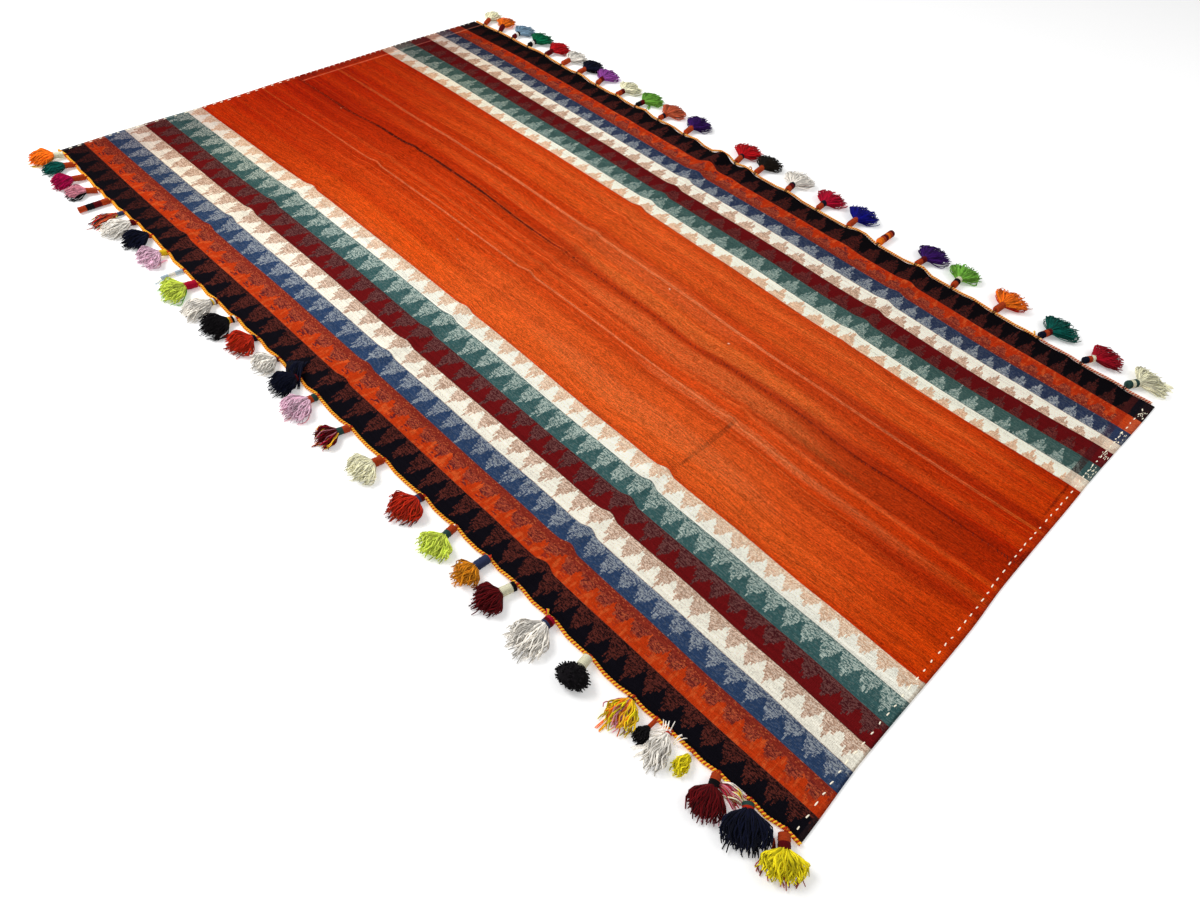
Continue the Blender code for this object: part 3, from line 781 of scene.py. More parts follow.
# small marks on the field: distance from the seam, y, half width, half length, sample, how strong
LEFT_FLECKS = (
    (0.205, -1.060, 0.030, 0.300, (160, 34, 2), 0.42),
    # the next three marks are painted shade: a dark line along the fold near y -0.67
    (0.230, -0.671, 0.120, 0.008, (112, 38, 14), 0.42),
    (0.160, -0.668, 0.030, 0.006, (84, 28, 14), 0.4),
    (0.330, -0.671, 0.028, 0.005, (84, 28, 14), 0.45),
    (0.050, -0.450, 0.045, 0.550, (228, 120, 60), 0.38),
    (0.150, -0.650, 0.022, 0.350, (236, 136, 80), 0.30),
    (0.285, -0.500, 0.050, 0.500, (236, 130, 70), 0.25),
    (0.002, 0.780, 0.0028, 0.760, (96, 26, 10), 0.95),
    (0.009, 1.110, 0.003, 0.004, (240, 214, 186), 0.8),
    (0.115, -0.130, 0.004, 0.006, (120, 36, 14), 0.6),
    (0.205, 0.310, 0.003, 0.005, (236, 170, 130), 0.6),
    (0.060, -0.880, 0.012, 0.160, (150, 62, 22), 0.45))
RIGHT_FLECKS = (
    (0.115, -0.900, 0.075, 0.400, (172, 38, 2), 0.36),
    (0.002, 0.780, 0.0028, 0.760, (96, 26, 10), 0.95),
    (0.004, 0.043, 0.004, 0.006, (60, 16, 12), 1.2),
    (0.003, -1.00, 0.004, 0.420, (110, 24, 14), 0.55),
    (0.166, 1.015, 0.028, 0.003, (150, 26, 12), 0.6),
    (0.250, -1.330, 0.100, 0.005, (96, 24, 16), 0.5),
    (0.040, -0.400, 0.035, 0.600, (226, 116, 50), 0.45),
    (0.115, -0.150, 0.050, 0.450, (228, 116, 60), 0.30),
    (0.0755, -0.480, 0.003, 0.004, (240, 216, 190), 0.9),
    (0.118, -0.228, 0.003, 0.004, (240, 216, 190), 0.9),
    (0.020, -1.352, 0.055, 0.007, (92, 18, 16), 0.9),
    (0.210, -0.050, 0.003, 0.005, (110, 28, 16), 0.6))
print(len(LEFT_FLECKS) + len(RIGHT_FLECKS), "small marks")

# %% A finish for each panel
# the last four values: how high the feet of the near trees stand, how much lower those trees are,
# how much fuller the far trees are, and the share of odd floats at the near end
LEFT_CLOTH = cloth_material("striped_wool_cloth_left", Look(
    LEFT_FIELD, BAND_GROUND, BAND_LIGHT, LEFT_MARKS, LEFT_BLOCKS, LEFT_FLECKS,
    foot=0.34, lower=0.24, fuller=0.08, specks=0.14))
RIGHT_CLOTH = cloth_material("striped_wool_cloth_right", Look(
    RIGHT_FIELD, RIGHT_GROUND, RIGHT_LIGHT, RIGHT_MARKS, RIGHT_BLOCKS, RIGHT_FLECKS,
    foot=0.02, lower=0.15, fuller=0.0, specks=0.70))
print("finishes", LEFT_CLOTH.name, RIGHT_CLOTH.name)

# %% [markdown]
# ## The two panels
# A panel is one grid of faces. Its columns lie exactly on the edges of the bands, so a stripe
# never cuts through a face, and every row runs across the rug. Moving the grid's points onto
# the outline gives the shape, and Solidify gives the cloth its thickness.

# %% Where each band ends, from the edge inward, at a few places along the rug


def band_lines(*rows):
    """Knots for each line between two bands, and for the field's own line, from rows by y."""
    places, lines = zip(*rows)
    return [knots(*zip(places, line)) for line in zip(*lines)]


LEFT_BANDS = band_lines(
    (-1.36, (-0.742, -0.682, -0.6285, -0.568, -0.5075, -0.436, -0.3775, -0.112)),
    (-1.10, (-0.745, -0.679, -0.620, -0.559, -0.497, -0.4285, -0.372, -0.122)),
    (-0.85, (-0.7425, -0.673, -0.613, -0.550, -0.488, -0.421, -0.364, -0.120)),
    (-0.45, (-0.737, -0.667, -0.6055, -0.5445, -0.481, -0.4105, -0.355, -0.116)),
    (0.00, (-0.7335, -0.662, -0.5995, -0.5415, -0.473, -0.397, -0.3425, -0.111)),
    (0.40, (-0.7315, -0.6595, -0.5955, -0.535, -0.466, -0.3915, -0.338, -0.108)),
    (0.70, (-0.7335, -0.6635, -0.597, -0.536, -0.467, -0.391, -0.336, -0.109)),
    (1.00, (-0.7355, -0.668, -0.604, -0.5425, -0.4765, -0.401, -0.348, -0.118)),
    (1.37, (-0.734, -0.670, -0.606, -0.5465, -0.480, -0.406, -0.356, -0.135)))
RIGHT_BANDS = band_lines(
    (-1.37, (0.705, 0.638, 0.576, 0.532, 0.464, 0.397, 0.347, 0.152)),
    (-1.02, (0.709, 0.638, 0.578, 0.520, 0.4575, 0.3925, 0.343, 0.147)),
    (-0.60, (0.724, 0.656, 0.594, 0.5355, 0.471, 0.4045, 0.351, 0.146)),
    (-0.20, (0.733, 0.666, 0.6055, 0.5465, 0.4835, 0.416, 0.3645, 0.160)),
    (0.05, (0.735, 0.666, 0.607, 0.547, 0.486, 0.422, 0.3715, 0.164)),
    (0.45, (0.7375, 0.671, 0.611, 0.554, 0.491, 0.4245, 0.374, 0.171)),
    (0.70, (0.741, 0.674, 0.613, 0.556, 0.491, 0.4205, 0.370, 0.165)),
    (1.00, (0.739, 0.675, 0.6155, 0.558, 0.493, 0.421, 0.369, 0.153)),
    (1.37, (0.723, 0.666, 0.609, 0.556, 0.482, 0.408, 0.358, 0.143)))
# how many trees lie along the bands up to each y
LEFT_TREES = knots(
    (-1.36, -28.3), (-0.945, -19.5), (-0.755, -15.5), (-0.125, -3.5), (0.12, 0.5), (0.80, 11.5),
    (1.37, 21.0))
RIGHT_TREES = knots(
    (-1.37, -26.6), (-0.95, -17.8), (-0.60, -10.9), (-0.04, -2.5), (0.135, 0.5), (0.765, 11.5),
    (1.38, 21.9))
print("bands about", round((0.81 - 0.335) / 7 / MM), "mm wide")

# %% The grid of a panel
BAND_STEPS = (7, 7, 7, 7, 7, 7, 7, 13, 11)
PANEL_ROWS = 400
CRUMPLE = 0.0008          # height of small unevenness
COLUMNS = [sum(BAND_STEPS[:index]) for index in range(len(BAND_STEPS) + 1)]


def band_count(column):
    """A column's band count: 2.5 is half way across the third band."""
    for index, steps in enumerate(BAND_STEPS):
        if column <= COLUMNS[index + 1]:
            return index + (column - COLUMNS[index]) / steps


def crumple(x, y, share_up):
    """Small unevenness of cloth that has lain folded, dying away at the ends."""
    ends = smooth(min(share_up, 1.0 - share_up) / 0.02)
    return CRUMPLE * ends * max(0.0, 0.6 + noise.noise(Vector((x * 7.0, y * 7.0, 2.0))))


def draw_fold(x, y):
    """Warps shift a little towards the edge where a fold crosses them."""
    pull = 0.0
    for crease in CREASES:
        share, ridge_y = ridge(crease, x)
        if -0.05 <= share <= 1.05:
            pull += crease.pull * hump(y - ridge_y + 0.004, 0.030)
    return pull


def finish_mesh(name, bm, materials):
    mesh = bpy.data.meshes.new(name)
    bm.to_mesh(mesh)
    bm.free()
    for material in materials:
        mesh.materials.append(material)
    return mesh


def make_panel(name, side, outer_x, bands, trees, material):
    spans = COLUMNS[-1]
    bm = bmesh.new()
    bmesh.ops.create_grid(bm, x_segments=spans, y_segments=PANEL_ROWS, size=0.5)
    places = {}
    for vert in bm.verts:
        column = round((vert.co.x + 0.5) * spans)
        share_up = vert.co.y + 0.5
        row_y = mix(NEAR_Y, FAR_Y, share_up)
        count = band_count(column)
        seam = seam_x(row_y) + side * PIECE_GAP / 2
        edges = [outer_x(row_y), *(along(line, row_y) for line in bands), seam]
        index = min(int(count), len(edges) - 2)
        x = mix(edges[index], edges[index + 1], count - index)
        y = cloth_y(x, share_up)
        inner = smooth(min(column, spans - column) / 5.0)
        x += draw_fold(x, y) * inner
        places[vert] = (count, Vector((abs(x - seam), y)))
        vert.co = Vector((x, y, cloth_height(x, y) + crumple(x, y, share_up) * inner))
    count_map = bm.loops.layers.uv.new("Bands")
    cloth_map = bm.loops.layers.uv.new("Cloth")
    for face in bm.faces:
        for loop in face.loops:
            count, flat = places[loop.vert]
            loop[count_map].uv = (count, along(trees, flat.y, evenly))
            loop[cloth_map].uv = flat
        face.smooth = True
    bmesh.ops.recalc_face_normals(bm, faces=bm.faces)
    if sum(face.normal.z for face in bm.faces) < 0.0:
        bmesh.ops.reverse_faces(bm, faces=bm.faces)
    area = sum(face.calc_area() for face in bm.faces)
    panel = add_object(name, finish_mesh(name, bm, [material]))
    thicken = panel.modifiers.new("thickness", "SOLIDIFY")
    thicken.thickness = CLOTH_THICK
    thicken.offset = 1.0
    print(name, len(panel.data.polygons), "faces,", round(area, 3), "square metres")
    return panel, area


LEFT_PANEL, LEFT_AREA = make_panel(
    "left_panel", -1.0, left_x, LEFT_BANDS, LEFT_TREES, LEFT_CLOTH)
RIGHT_PANEL, RIGHT_AREA = make_panel(
    "right_panel", 1.0, right_x, RIGHT_BANDS, RIGHT_TREES, RIGHT_CLOTH)

# %% Seat the panels on the model
for panel, node, area, width in (
    (LEFT_PANEL, "panel_left", LEFT_AREA, 0.87), (RIGHT_PANEL, "panel_right", RIGHT_AREA, 0.82),
):
    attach(panel, "root")
    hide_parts(node)
    min(area, width * 2.76)
    print(panel.name, "stands for", node)

# %% [markdown]
# ## Yarn
# Cord and tassels are spun from thick wool. Each length of yarn took the dye a little
# differently, so a number named "tone" is stored on every strand and shifts its colour. In the
# tassels it also carries painted shade: it is darker for the heart, the lower strands and the
# grooves of the neck.

# %% Spun yarn
SPUN_YARN, knit, given, out = shader_group(
    "spun_yarn", {"Color": "Color"}, {"Color": "Color", "Height": "Float"})
where = knit.add("TexCoord", output="Object")
tone = knit.add("Attribute", attribute_name="tone", output="Fac")
mottle = knit.noise(where, 260.0, 2.0)
fuzz = knit.noise(where, 1500.0, 2.0)
# the tone gives each strand its own dye and, in the tassels, painted shade
shade = knit.ease(tone, 0.0, 1.0, 0.46, 1.34) + (mottle * 0.34 - 0.17)
shaded = knit.blend(1.0, given["Color"], shade, "MULTIPLY")
pale = knit.blend(1.0, given["Color"], (0.05, 0.05, 0.05, 1.0), "ADD")
lint = knit.ease(fuzz, 0.60, 0.74, 0.0, 0.5)
knit.join(knit.blend(lint, shaded, knit.blend(0.5, shaded, pale)), out["Color"])
knit.join(fuzz * 0.6 + mottle, out["Height"])

YARN = {
    "orange": (255, 124, 24), "teal": (4, 92, 82), "magenta": (176, 4, 74), "black": (16, 13, 16),
    "rust": (186, 66, 26), "white": (252, 246, 236), "navy": (12, 16, 38),
    "lilac": (240, 198, 218), "pale_blue": (190, 208, 222), "lime": (222, 238, 92),
    "red": (196, 44, 20), "maroon": (98, 8, 14), "cream": (250, 246, 212),
    "mustard": (234, 150, 30), "yellow": (252, 208, 38), "sky": (134, 166, 190),
    "green": (4, 108, 70), "scarlet": (198, 16, 26), "garnet": (168, 12, 34),
    "violet": (160, 78, 170), "leaf": (118, 180, 66), "terracotta": (208, 98, 64),
    "indigo": (58, 20, 98), "olive": (30, 22, 14), "crimson": (192, 12, 52),
    "royal": (14, 14, 128), "pink": (222, 142, 158), "lemon": (250, 232, 34),
    "blush": (190, 108, 96), "slate": (46, 78, 72), "slate_blue": (54, 64, 98),
    "gold": (255, 194, 52), "salmon": (232, 190, 160), "straw": (252, 200, 104),
    "brick": (196, 54, 20), "thread_white": (255, 246, 222), "thread_dark": (46, 24, 22),
    "field_thread": (176, 52, 16), "seam_brown": (98, 26, 14)}
YARN_MATERIALS = {}


def yarn(colour):
    """The finish of one yarn, made the first time it is asked for."""
    if colour not in YARN_MATERIALS:
        material, shader, nodes = wool_material(f"{colour}_wool_yarn", roughness=0.95, sheen=0.04)
        spun = nodes.group(SPUN_YARN, Color=dye(*YARN[colour]))
        finish_wool(nodes, shader, spun["Color"], spun["Height"], 0.0005)
        YARN_MATERIALS[colour] = material
    return YARN_MATERIALS[colour]


print(len(YARN), "yarns")

# %% [markdown]
# ## Strands
# A strand is a curve through a few points with a round section. Hundreds of strands go into one
# curve object, which is then made a mesh, so that each piece stays one object. The points of one
# strand follow each other in the mesh, which is how each strand gets its own tone.

# %% Strands to mesh
# depth scales a strand's tone: painted shade for strands that lie low in a skirt
Strand = namedtuple("Strand", "points colour radius depth", defaults=(1.0,))
TIP = 0.75                # a strand's cut end is this much as thick


def store_tones(mesh, tones_and_shade):
    """Write each point's tone, making the attribute if the mesh has none."""
    tone = mesh.attributes.get("tone") or mesh.attributes.new("tone", "FLOAT", "POINT")
    tone.data.foreach_set("value", tones_and_shade)


def strands_mesh(name, strands, colours, seed):
    """One mesh of many strands, which all have the same number of points."""
    curve = bpy.data.curves.new(name, "CURVE")
    curve.dimensions = "3D"
    curve.bevel_depth = 1.0
    curve.bevel_resolution = 0
    curve.use_fill_caps = True
    for colour in colours:
        curve.materials.append(yarn(colour))
    for strand in strands:
        spline = curve.splines.new("POLY")
        spline.points.add(len(strand.points) - 1)
        spline.material_index = colours.index(strand.colour)
        for point, place in zip(spline.points, strand.points):
            point.co = (*place, 1.0)
            point.radius = strand.radius
        point.radius *= TIP
    made = add_object(name, curve)
    evaluated = made.evaluated_get(bpy.context.evaluated_depsgraph_get())
    mesh = bpy.data.meshes.new_from_object(evaluated)
    bpy.data.objects.remove(made, do_unlink=True)
    chance = random.Random(seed)
    # each strand's random tone, times its depth, which adds painted shade
    tones_and_shade = [mix(0.34, 1.0, chance.random()) * strand.depth for strand in strands]
    share = len(mesh.vertices) // len(strands)
    store_tones(mesh, [tone for tone in tones_and_shade for _ in range(share)])
    return mesh


def add_piece(name, mesh, slot, *nodes):
    """A finished piece. It rides on the rug's one body and never sinks in the floor."""
    for vertex in mesh.vertices:
        vertex.co.z = max(vertex.co.z, 0.0)
    for polygon in mesh.polygons:
        polygon.use_smooth = True
    piece = add_object(name, mesh)
    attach(piece, "root")
    if nodes:
        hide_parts(*nodes)
    return piece


def curved(places, steps):
    """Points of a smooth line through a few places."""
    line = [places[0] * 2.0 - places[1], *places, places[-1] * 2.0 - places[-2]]
    points = []
    for before, start, end, after in zip(line, line[1:], line[2:], line[3:]):
        for step in range(steps):
            t = step / steps
            points.append(0.5 * (
                2.0 * start + (end - before) * t
                + (2.0 * before - 5.0 * start + 4.0 * end - after) * t * t
                + (3.0 * start - before - 3.0 * end + after) * t * t * t))
    return [*points, places[-1]]


print("strand helpers ready")

# %% [markdown]
# ## The edging cords
# A cord is two plies of yarn laid round each other and round a core, one gold and one red on the
# left, and one pale and one red on the right. Each ply is a helix that follows the cord's middle
# line, half a turn behind the other.

# %% Middle line of a cord


def cord_half(height):
    """Half width of the cord at a height above its lowest line."""
    return math.sqrt(max(CORD_RADIUS ** 2 - (height - CORD_RADIUS) ** 2, 0.0))


def cord_route(outer_x, outward):
    """The cord's side meets the top corner of the cloth's edge."""
    beside = cord_half(CLOTH_THICK) + PIECE_GAP
    edge = [edge_point(outer_x, row / CORD_STEPS) for row in range(CORD_STEPS + 1)]
    route = []
    for before, point, after in zip([edge[0], *edge], edge, [*edge[1:], edge[-1]]):
        run = Vector((after.x - before.x, after.y - before.y, 0.0)).normalized()
        square = Vector((run.y, -run.x, 0.0)) * outward
        route.append(point + square * beside + Vector((0.0, 0.0, CORD_RADIUS)))
    return route


def cord_at(route, y):
    """Place on the cord's middle line at y."""
    for low, high in zip(route, route[1:]):
        if low.y <= y <= high.y:
            return low.lerp(high, (y - low.y) / (high.y - low.y))
    return route[0] if y < route[0].y else route[-1]


LEFT_ROUTE = cord_route(left_x, -1.0)
RIGHT_ROUTE = cord_route(right_x, 1.0)
print("cord about", round(sum((b - a).length for a, b in zip(LEFT_ROUTE, LEFT_ROUTE[1:])), 2), "m")

# %% Two plies
PLY_TURN = 0.0072         # length of one turn
PLY_STEPS = 8             # points in one turn
PLY_OFF = 0.0024          # each ply's middle from the cord's middle
PLY_RADIUS, RED_RADIUS, CORE_RADIUS = 0.0020, 0.0013, 0.0026
CORE_STEP = 0.0045
CORD_TONE = 0.72


def ply(route, low_y, high_y, phase, swing):
    """A helix round the cord's line between two places."""
    count = round((high_y - low_y) / PLY_TURN * PLY_STEPS)
    points = []
    for index in range(count + 1):
        middle = cord_at(route, mix(low_y, high_y, index / count))
        angle = 2.0 * math.pi * index / PLY_STEPS + phase
        points.append(middle + Vector((math.cos(angle), 0.0, math.sin(angle))) * swing)
    return points


for side, route, lengths, finish in (
    ("left", LEFT_ROUTE, ((-1.36, 1.37, "gold"),), "gold_red_cord"),
    ("right", RIGHT_ROUTE, ((-1.36, -1.04, "salmon"), (-1.04, 1.37, "straw")), "salmon_red_cord"),
):
    colours = (*dict.fromkeys(colour for _, _, colour in lengths), "brick")
    bm = bmesh.new()
    for low_y, high_y, colour in lengths:
        ends = max(low_y, route[0].y), min(high_y, route[-1].y)
        plies = [Strand(ply(route, *ends, 0.0, PLY_OFF), colour, PLY_RADIUS),
                 Strand(ply(route, *ends, math.pi, PLY_OFF * 1.10), "brick", RED_RADIUS)]
        steps = round((ends[1] - ends[0]) / CORE_STEP)
        core = [cord_at(route, mix(*ends, step / steps)) for step in range(steps + 1)]
        for part in plies, [Strand(core, colour, CORE_RADIUS)]:
            bm.from_mesh(strands_mesh("ply", part, colours, 3))
    mesh = finish_mesh(f"{side}_edging_cord", bm, map(yarn, colours))
    store_tones(mesh, [CORD_TONE] * len(mesh.vertices))
    cord = add_piece(f"{side}_edging_cord", mesh, finish, f"edge_cord_{side}")
    print(cord.name, len(mesh.polygons), "faces")

# %% [markdown]
# ## Tassels
# A maker folds a bundle of yarn over the cord, winds a thread round it to make the neck, and
# cuts the ends. So a tassel is three things: a wound neck, a soft heart of packed yarn that
# closes the view through it, and the strands that fan out from the neck and fall to the floor.
# The heart, the lower strands and the grooves of the neck get darker tones: painted shade.

# %% Place of a tassel: X across its strands, Y up, Z along its neck
CORD_LEVELS = (0.4, 1.0, 1.5)
NECK_STEPS = (-1.0, -0.5, 0.0, 0.5, 1.0)
NECK_RISE = 0.46
CROWN = 0.28
CLIPPED_ROUND = 0.9       # from this fan on, a tassel is clipped to a ball


def tassel_place(row, route, outward):
    """The root stands off until the round end of the neck just clears the cord."""
    y = row.y * MM
    wrap = row.wrap * MM
    turn = math.radians(row.turn)
    heading = Vector((outward * math.cos(turn), math.sin(turn), 0.0))
    up = Vector((0.0, 0.0, 1.0))
    across = up.cross(heading)
    reaches = []
    for level, step in itertools.product(CORD_LEVELS, NECK_STEPS):
        above = level * CORD_RADIUS
        height = cord_at(route, y).z - CORD_RADIUS + above
        side = across * step * math.sqrt(max(wrap ** 2 - (height - wrap) ** 2, 0.0))
        reaches.append(outward * (cord_at(route, y + side.y).x - side.x) + cord_half(above))
    place = Matrix((across, up, heading)).transposed().to_4x4()
    place.translation = (outward * (max(reaches) + PIECE_GAP), y, 0.0)
    return place


print("place of the first tassel", tassel_place(LEFT_TASSELS[0], LEFT_ROUTE, -1.0).translation)

# %% The wound neck
WINDING = 0.0021          # thickness of the winding thread
NECK_SIDES = 12
GROOVE, RIDGE = 0.90, 1.0


def high_end(row):
    """Height of the neck's middle at its outer end."""
    wrap = row.wrap * MM
    return max(wrap, NECK_RISE * row.height * MM) if row.yarns else wrap


def wound_neck(bm, row, colours):
    """A roll with a groove between each turn of thread, spun round its own axis."""
    wrap = row.wrap * MM
    length = row.neck * MM
    taper = 1.0 if row.yarns else 0.92
    turns = max(3, round(length / WINDING))
    chance = random.Random(row.y)
    profile = [Vector((0.0, 0.0, 0.0))]
    for turn in range(turns):
        bulge = 1.0 + 0.05 * chance.uniform(-1.0, 1.0)
        for share, depth in ((0.08, GROOVE), (0.5, RIDGE)):
            z = (turn + share) / turns
            radius = wrap * depth * bulge * mix(1.0, taper, z) * 0.985
            profile.append(Vector((radius, 0.0, z * length)))
    profile.append(Vector((0.0, 0.0, length)))
    verts = [bm.verts.new(place) for place in profile]
    edges = [bm.edges.new(pair) for pair in zip(verts, verts[1:])]
    bmesh.ops.spin(
        bm, geom=verts + edges, cent=(0.0, 0.0, 0.0), axis=(0.0, 0.0, 1.0), dvec=(0.0, 0.0, 0.0),
        angle=2.0 * math.pi, steps=NECK_SIDES, use_merge=True, use_duplicate=False)
    bmesh.ops.remove_doubles(bm, verts=bm.verts, dist=0.00001)
    bmesh.ops.recalc_face_normals(bm, faces=bm.faces)
    for face in bm.faces:
        share = min(max(face.calc_center_median().z / length, 0.0), 0.999)
        face.material_index = colours.index(row.winding[int(share * len(row.winding))])
    # painted shade: points in the grooves between turns of thread get a very dark tone, the ridges
    # a plain one
    tones_and_shade = []
    for vert in bm.verts:
        full = wrap * mix(1.0, taper, vert.co.z / length)
        tones_and_shade.append(0.05 if vert.co.xy.length < 0.933 * full else 0.8)
    lean = Matrix.Identity(4)
    lean[1][2] = (high_end(row) - wrap) / length
    lean[1][3] = wrap
    bmesh.ops.transform(bm, matrix=lean, verts=bm.verts)
    return tones_and_shade


def heart(bm, row, colours):
    """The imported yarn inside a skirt: a ball drawn out to its shape."""
    made = bmesh.ops.create_uvsphere(bm, u_segments=14, v_segments=9, radius=1.0)
    neck, skirt, width, height = (value * MM for value in (
        row.neck, row.skirt, row.width, row.height))
    for vert in made["verts"]:
        x, y, z = vert.co
        y = 0.5 + 0.46 * y
        if row.fan >= CLIPPED_ROUND:
            vert.co = (x * width * 0.45, y * height, neck + skirt * (0.5 + 0.46 * z))
            continue
        reach = 0.5 + 0.5 * z
        spread = mix(0.55, 1.0, smooth(reach * 1.6))
        fall = mix(1.0, 0.62, smooth((reach - 0.45) * 1.8))
        vert.co = (x * width * 0.42 * spread, y * height * 0.84 * fall,
                   neck + skirt * (0.90 * reach - 0.02) * (1.0 - 0.22 * x ** 2))
    middle = row.yarns[len(row.yarns) // 2]
    for face in {face for vert in made["verts"] for face in vert.link_faces}:
        face.material_index = colours.index(middle)


print("necks have", NECK_SIDES, "sides")

# %% Strands of a skirt
YARN_RADIUS = 0.0013
MIXED = 6                 # from this many colours on, they lie mixed, not in layers
STRAND_STEPS = 4
LIVELY_YARNS = ("white", "cream", "lilac", "lime", "yellow", "mustard")
LIVELY, CALM, CLIPPED = 0.0036, 0.0026, 0.0016        # size of the crimp
GOLDEN = 0.618034         # spreads the strands evenly across a skirt


def crimped(points, chance, size):
    """Yarn keeps the crimp of its twist, more towards its cut end."""
    phase = [chance.uniform(0.0, 6.28) for _ in range(3)]
    last = len(points) - 1
    for index, point in enumerate(points):
        share = index / last
        wave = size * (0.25 + share)
        point.x += wave * math.sin(phase[0] + 9.5 * share)
        point.y += 0.7 * wave * math.sin(phase[1] + 8.3 * share)
        point.z += 0.4 * wave * math.sin(phase[2] + 6.0 * share)
        point.y = max(point.y, YARN_RADIUS + 0.0002)
    return points


def skirt_strand(row, across, up, chance):
    """Middle line of one strand: out of the neck, over the belly, down to its cut end."""
    wrap, neck, skirt, width, height = (value * MM for value in (
        row.wrap, row.neck, row.skirt, row.width, row.height))
    half = width / 2.0
    height = height * (1.0 - CROWN * across ** 2)
    cut = 1.0 + 0.15 * chance.uniform(-1.0, 1.0)
    stray = chance.uniform(-1.0, 1.0) * (0.22 if chance.random() < 0.25 else 0.07)
    fan = 1.0 - row.fan * across ** 2
    start = (up - 0.5) * 1.5 * wrap * math.sqrt(max(1.0 - across ** 2, 0.0))
    places = [
        Vector((across * wrap * 0.75, high_end(row) + start, neck - 0.003)),
        Vector((across * half * 0.90, mix(0.002, height * 0.97, up), neck + 0.42 * skirt * fan)),
        Vector(((across * 0.96 + stray) * half, mix(0.0015, height * 0.66, up * up),
                neck + skirt * fan * cut * (1.05 - 0.16 * up))),
    ]
    size = LIVELY if row.colour in LIVELY_YARNS else CALM
    return crimped(curved(places, STRAND_STEPS), chance, size)


def pompom_strand(row, chance):
    """A short strand of a clipped round tassel, pointing straight out of its heart."""
    out = Vector([chance.gauss(0.0, 1.0) for _ in range(3)]).normalized()
    size = Vector((row.width, row.height, row.skirt)) * MM * 0.5
    heart_middle = Vector((0.0, size.y, row.neck * MM + size.z))
    places = []
    for share in (0.70, 0.88, chance.uniform(0.96, 1.05)):
        place = heart_middle + out * size * share
        place.y = max(place.y, YARN_RADIUS)
        places.append(place)
    return crimped(curved(places, STRAND_STEPS), chance, CLIPPED)


def skirt_strands(row):
    """More strands for a bigger skirt. The lower a strand lies, the darker it is."""
    chance = random.Random(row.y * 7 + row.width)
    count = min(max(round(128 * (row.width * row.height) / (84.0 * 31.0)), 40), 150)
    if row.fan >= CLIPPED_ROUND:
        return [Strand(pompom_strand(row, chance), row.colour, YARN_RADIUS)
                for _ in range(2 * count)]
    strands = []
    for index in range(count):
        across = -1.0 + 2.0 * ((index * GOLDEN) % 1.0)
        shell = chance.random()
        up = 1.0 - 0.30 * chance.random() ** 2 if shell < 0.58 else chance.random()
        level = min(max(up + 0.16 * chance.uniform(-1.0, 1.0), 0.0), 0.999)
        if len(row.yarns) < MIXED:
            colour = row.yarns[int(level * len(row.yarns))]
        else:
            colour = chance.choice(row.yarns)
        # painted shade: strands low in the skirt, under the upper ones, get a darker tone
        depth = mix(0.12, 1.0, smooth((up - 0.45) / 0.55))
        strands.append(Strand(skirt_strand(row, across, up, chance), colour, YARN_RADIUS, depth))
    return strands


print("a skirt of", len(skirt_strands(LEFT_TASSELS[0])), "strands")

# %% Ties: a few turns of thread hold each tassel to its cord
TIE_RADIUS = 0.0047
TIE_PITCH = 0.0026
TIE_THREAD = 0.0007
TIE_STEPS = 8


def ties(row, route, colour):
    chance = random.Random(row.y + 5)
    strands = []
    for turn in range(3):
        y = row.y * MM + (turn - 1) * TIE_PITCH + 0.0006 * chance.uniform(-1.0, 1.0)
        middle = cord_at(route, y)
        points = []
        for step in range(TIE_STEPS + 1):
            angle = 2.0 * math.pi * step / TIE_STEPS
            points.append(Vector((middle.x + TIE_RADIUS * math.cos(angle),
                                  y + 0.0012 * math.sin(angle),
                                  max(middle.z + TIE_RADIUS * math.sin(angle), TIE_THREAD))))
        strands.append(Strand(points, colour, TIE_THREAD))
    return strands


# %% Make every tassel


def make_tassel(side, number, row, route, outward, tie_colour):
    place = tassel_place(row, route, outward)
    colours = list(dict.fromkeys((*row.yarns, *row.winding, tie_colour)))
    name = f"{side}_tassel_{number:02d}"
    bm = bmesh.new()
    tones_and_shade = wound_neck(bm, row, colours)
    parts = [ties(row, route, tie_colour)]
    if row.yarns:
        heart(bm, row, colours)
        # the heart gets the darkest tone: painted shade in the gaps between the strands
        tones_and_shade += [0.0] * (len(bm.verts) - len(tones_and_shade))
        parts.append([strand._replace(points=[place @ point for point in strand.points])
                      for strand in skirt_strands(row)])
    bmesh.ops.transform(bm, matrix=place, verts=bm.verts)
    for strands in parts:
        part = strands_mesh(name, strands, colours, row.y)
        tones_and_shade += [item.value for item in part.attributes["tone"].data]
        bm.from_mesh(part)
    mesh = finish_mesh(name, bm, map(yarn, colours))
    store_tones(mesh, tones_and_shade)
    return add_piece(name, mesh, f"{row.colour}_wool_yarn", f"tassel_{side}_{number:02d}")


faces = 0
for side, rows, route, outward, tie_colour in (
    ("left", LEFT_TASSELS, LEFT_ROUTE, -1.0, "brick"),
    ("right", RIGHT_TASSELS, RIGHT_ROUTE, 1.0, "thread_dark"),
):
    for number, row in enumerate(rows, start=1):
        faces += len(make_tassel(side, number, row, route, outward, tie_colour).data.polygons)
print("tassels made,", faces, "faces")

# %% [markdown]
# ## Loose yarn
# Years of use have pulled yarn out of some tassels. Each row is a small bundle that runs from one
# place to another and lies on whatever is below it: the floor, the cord or the cloth.

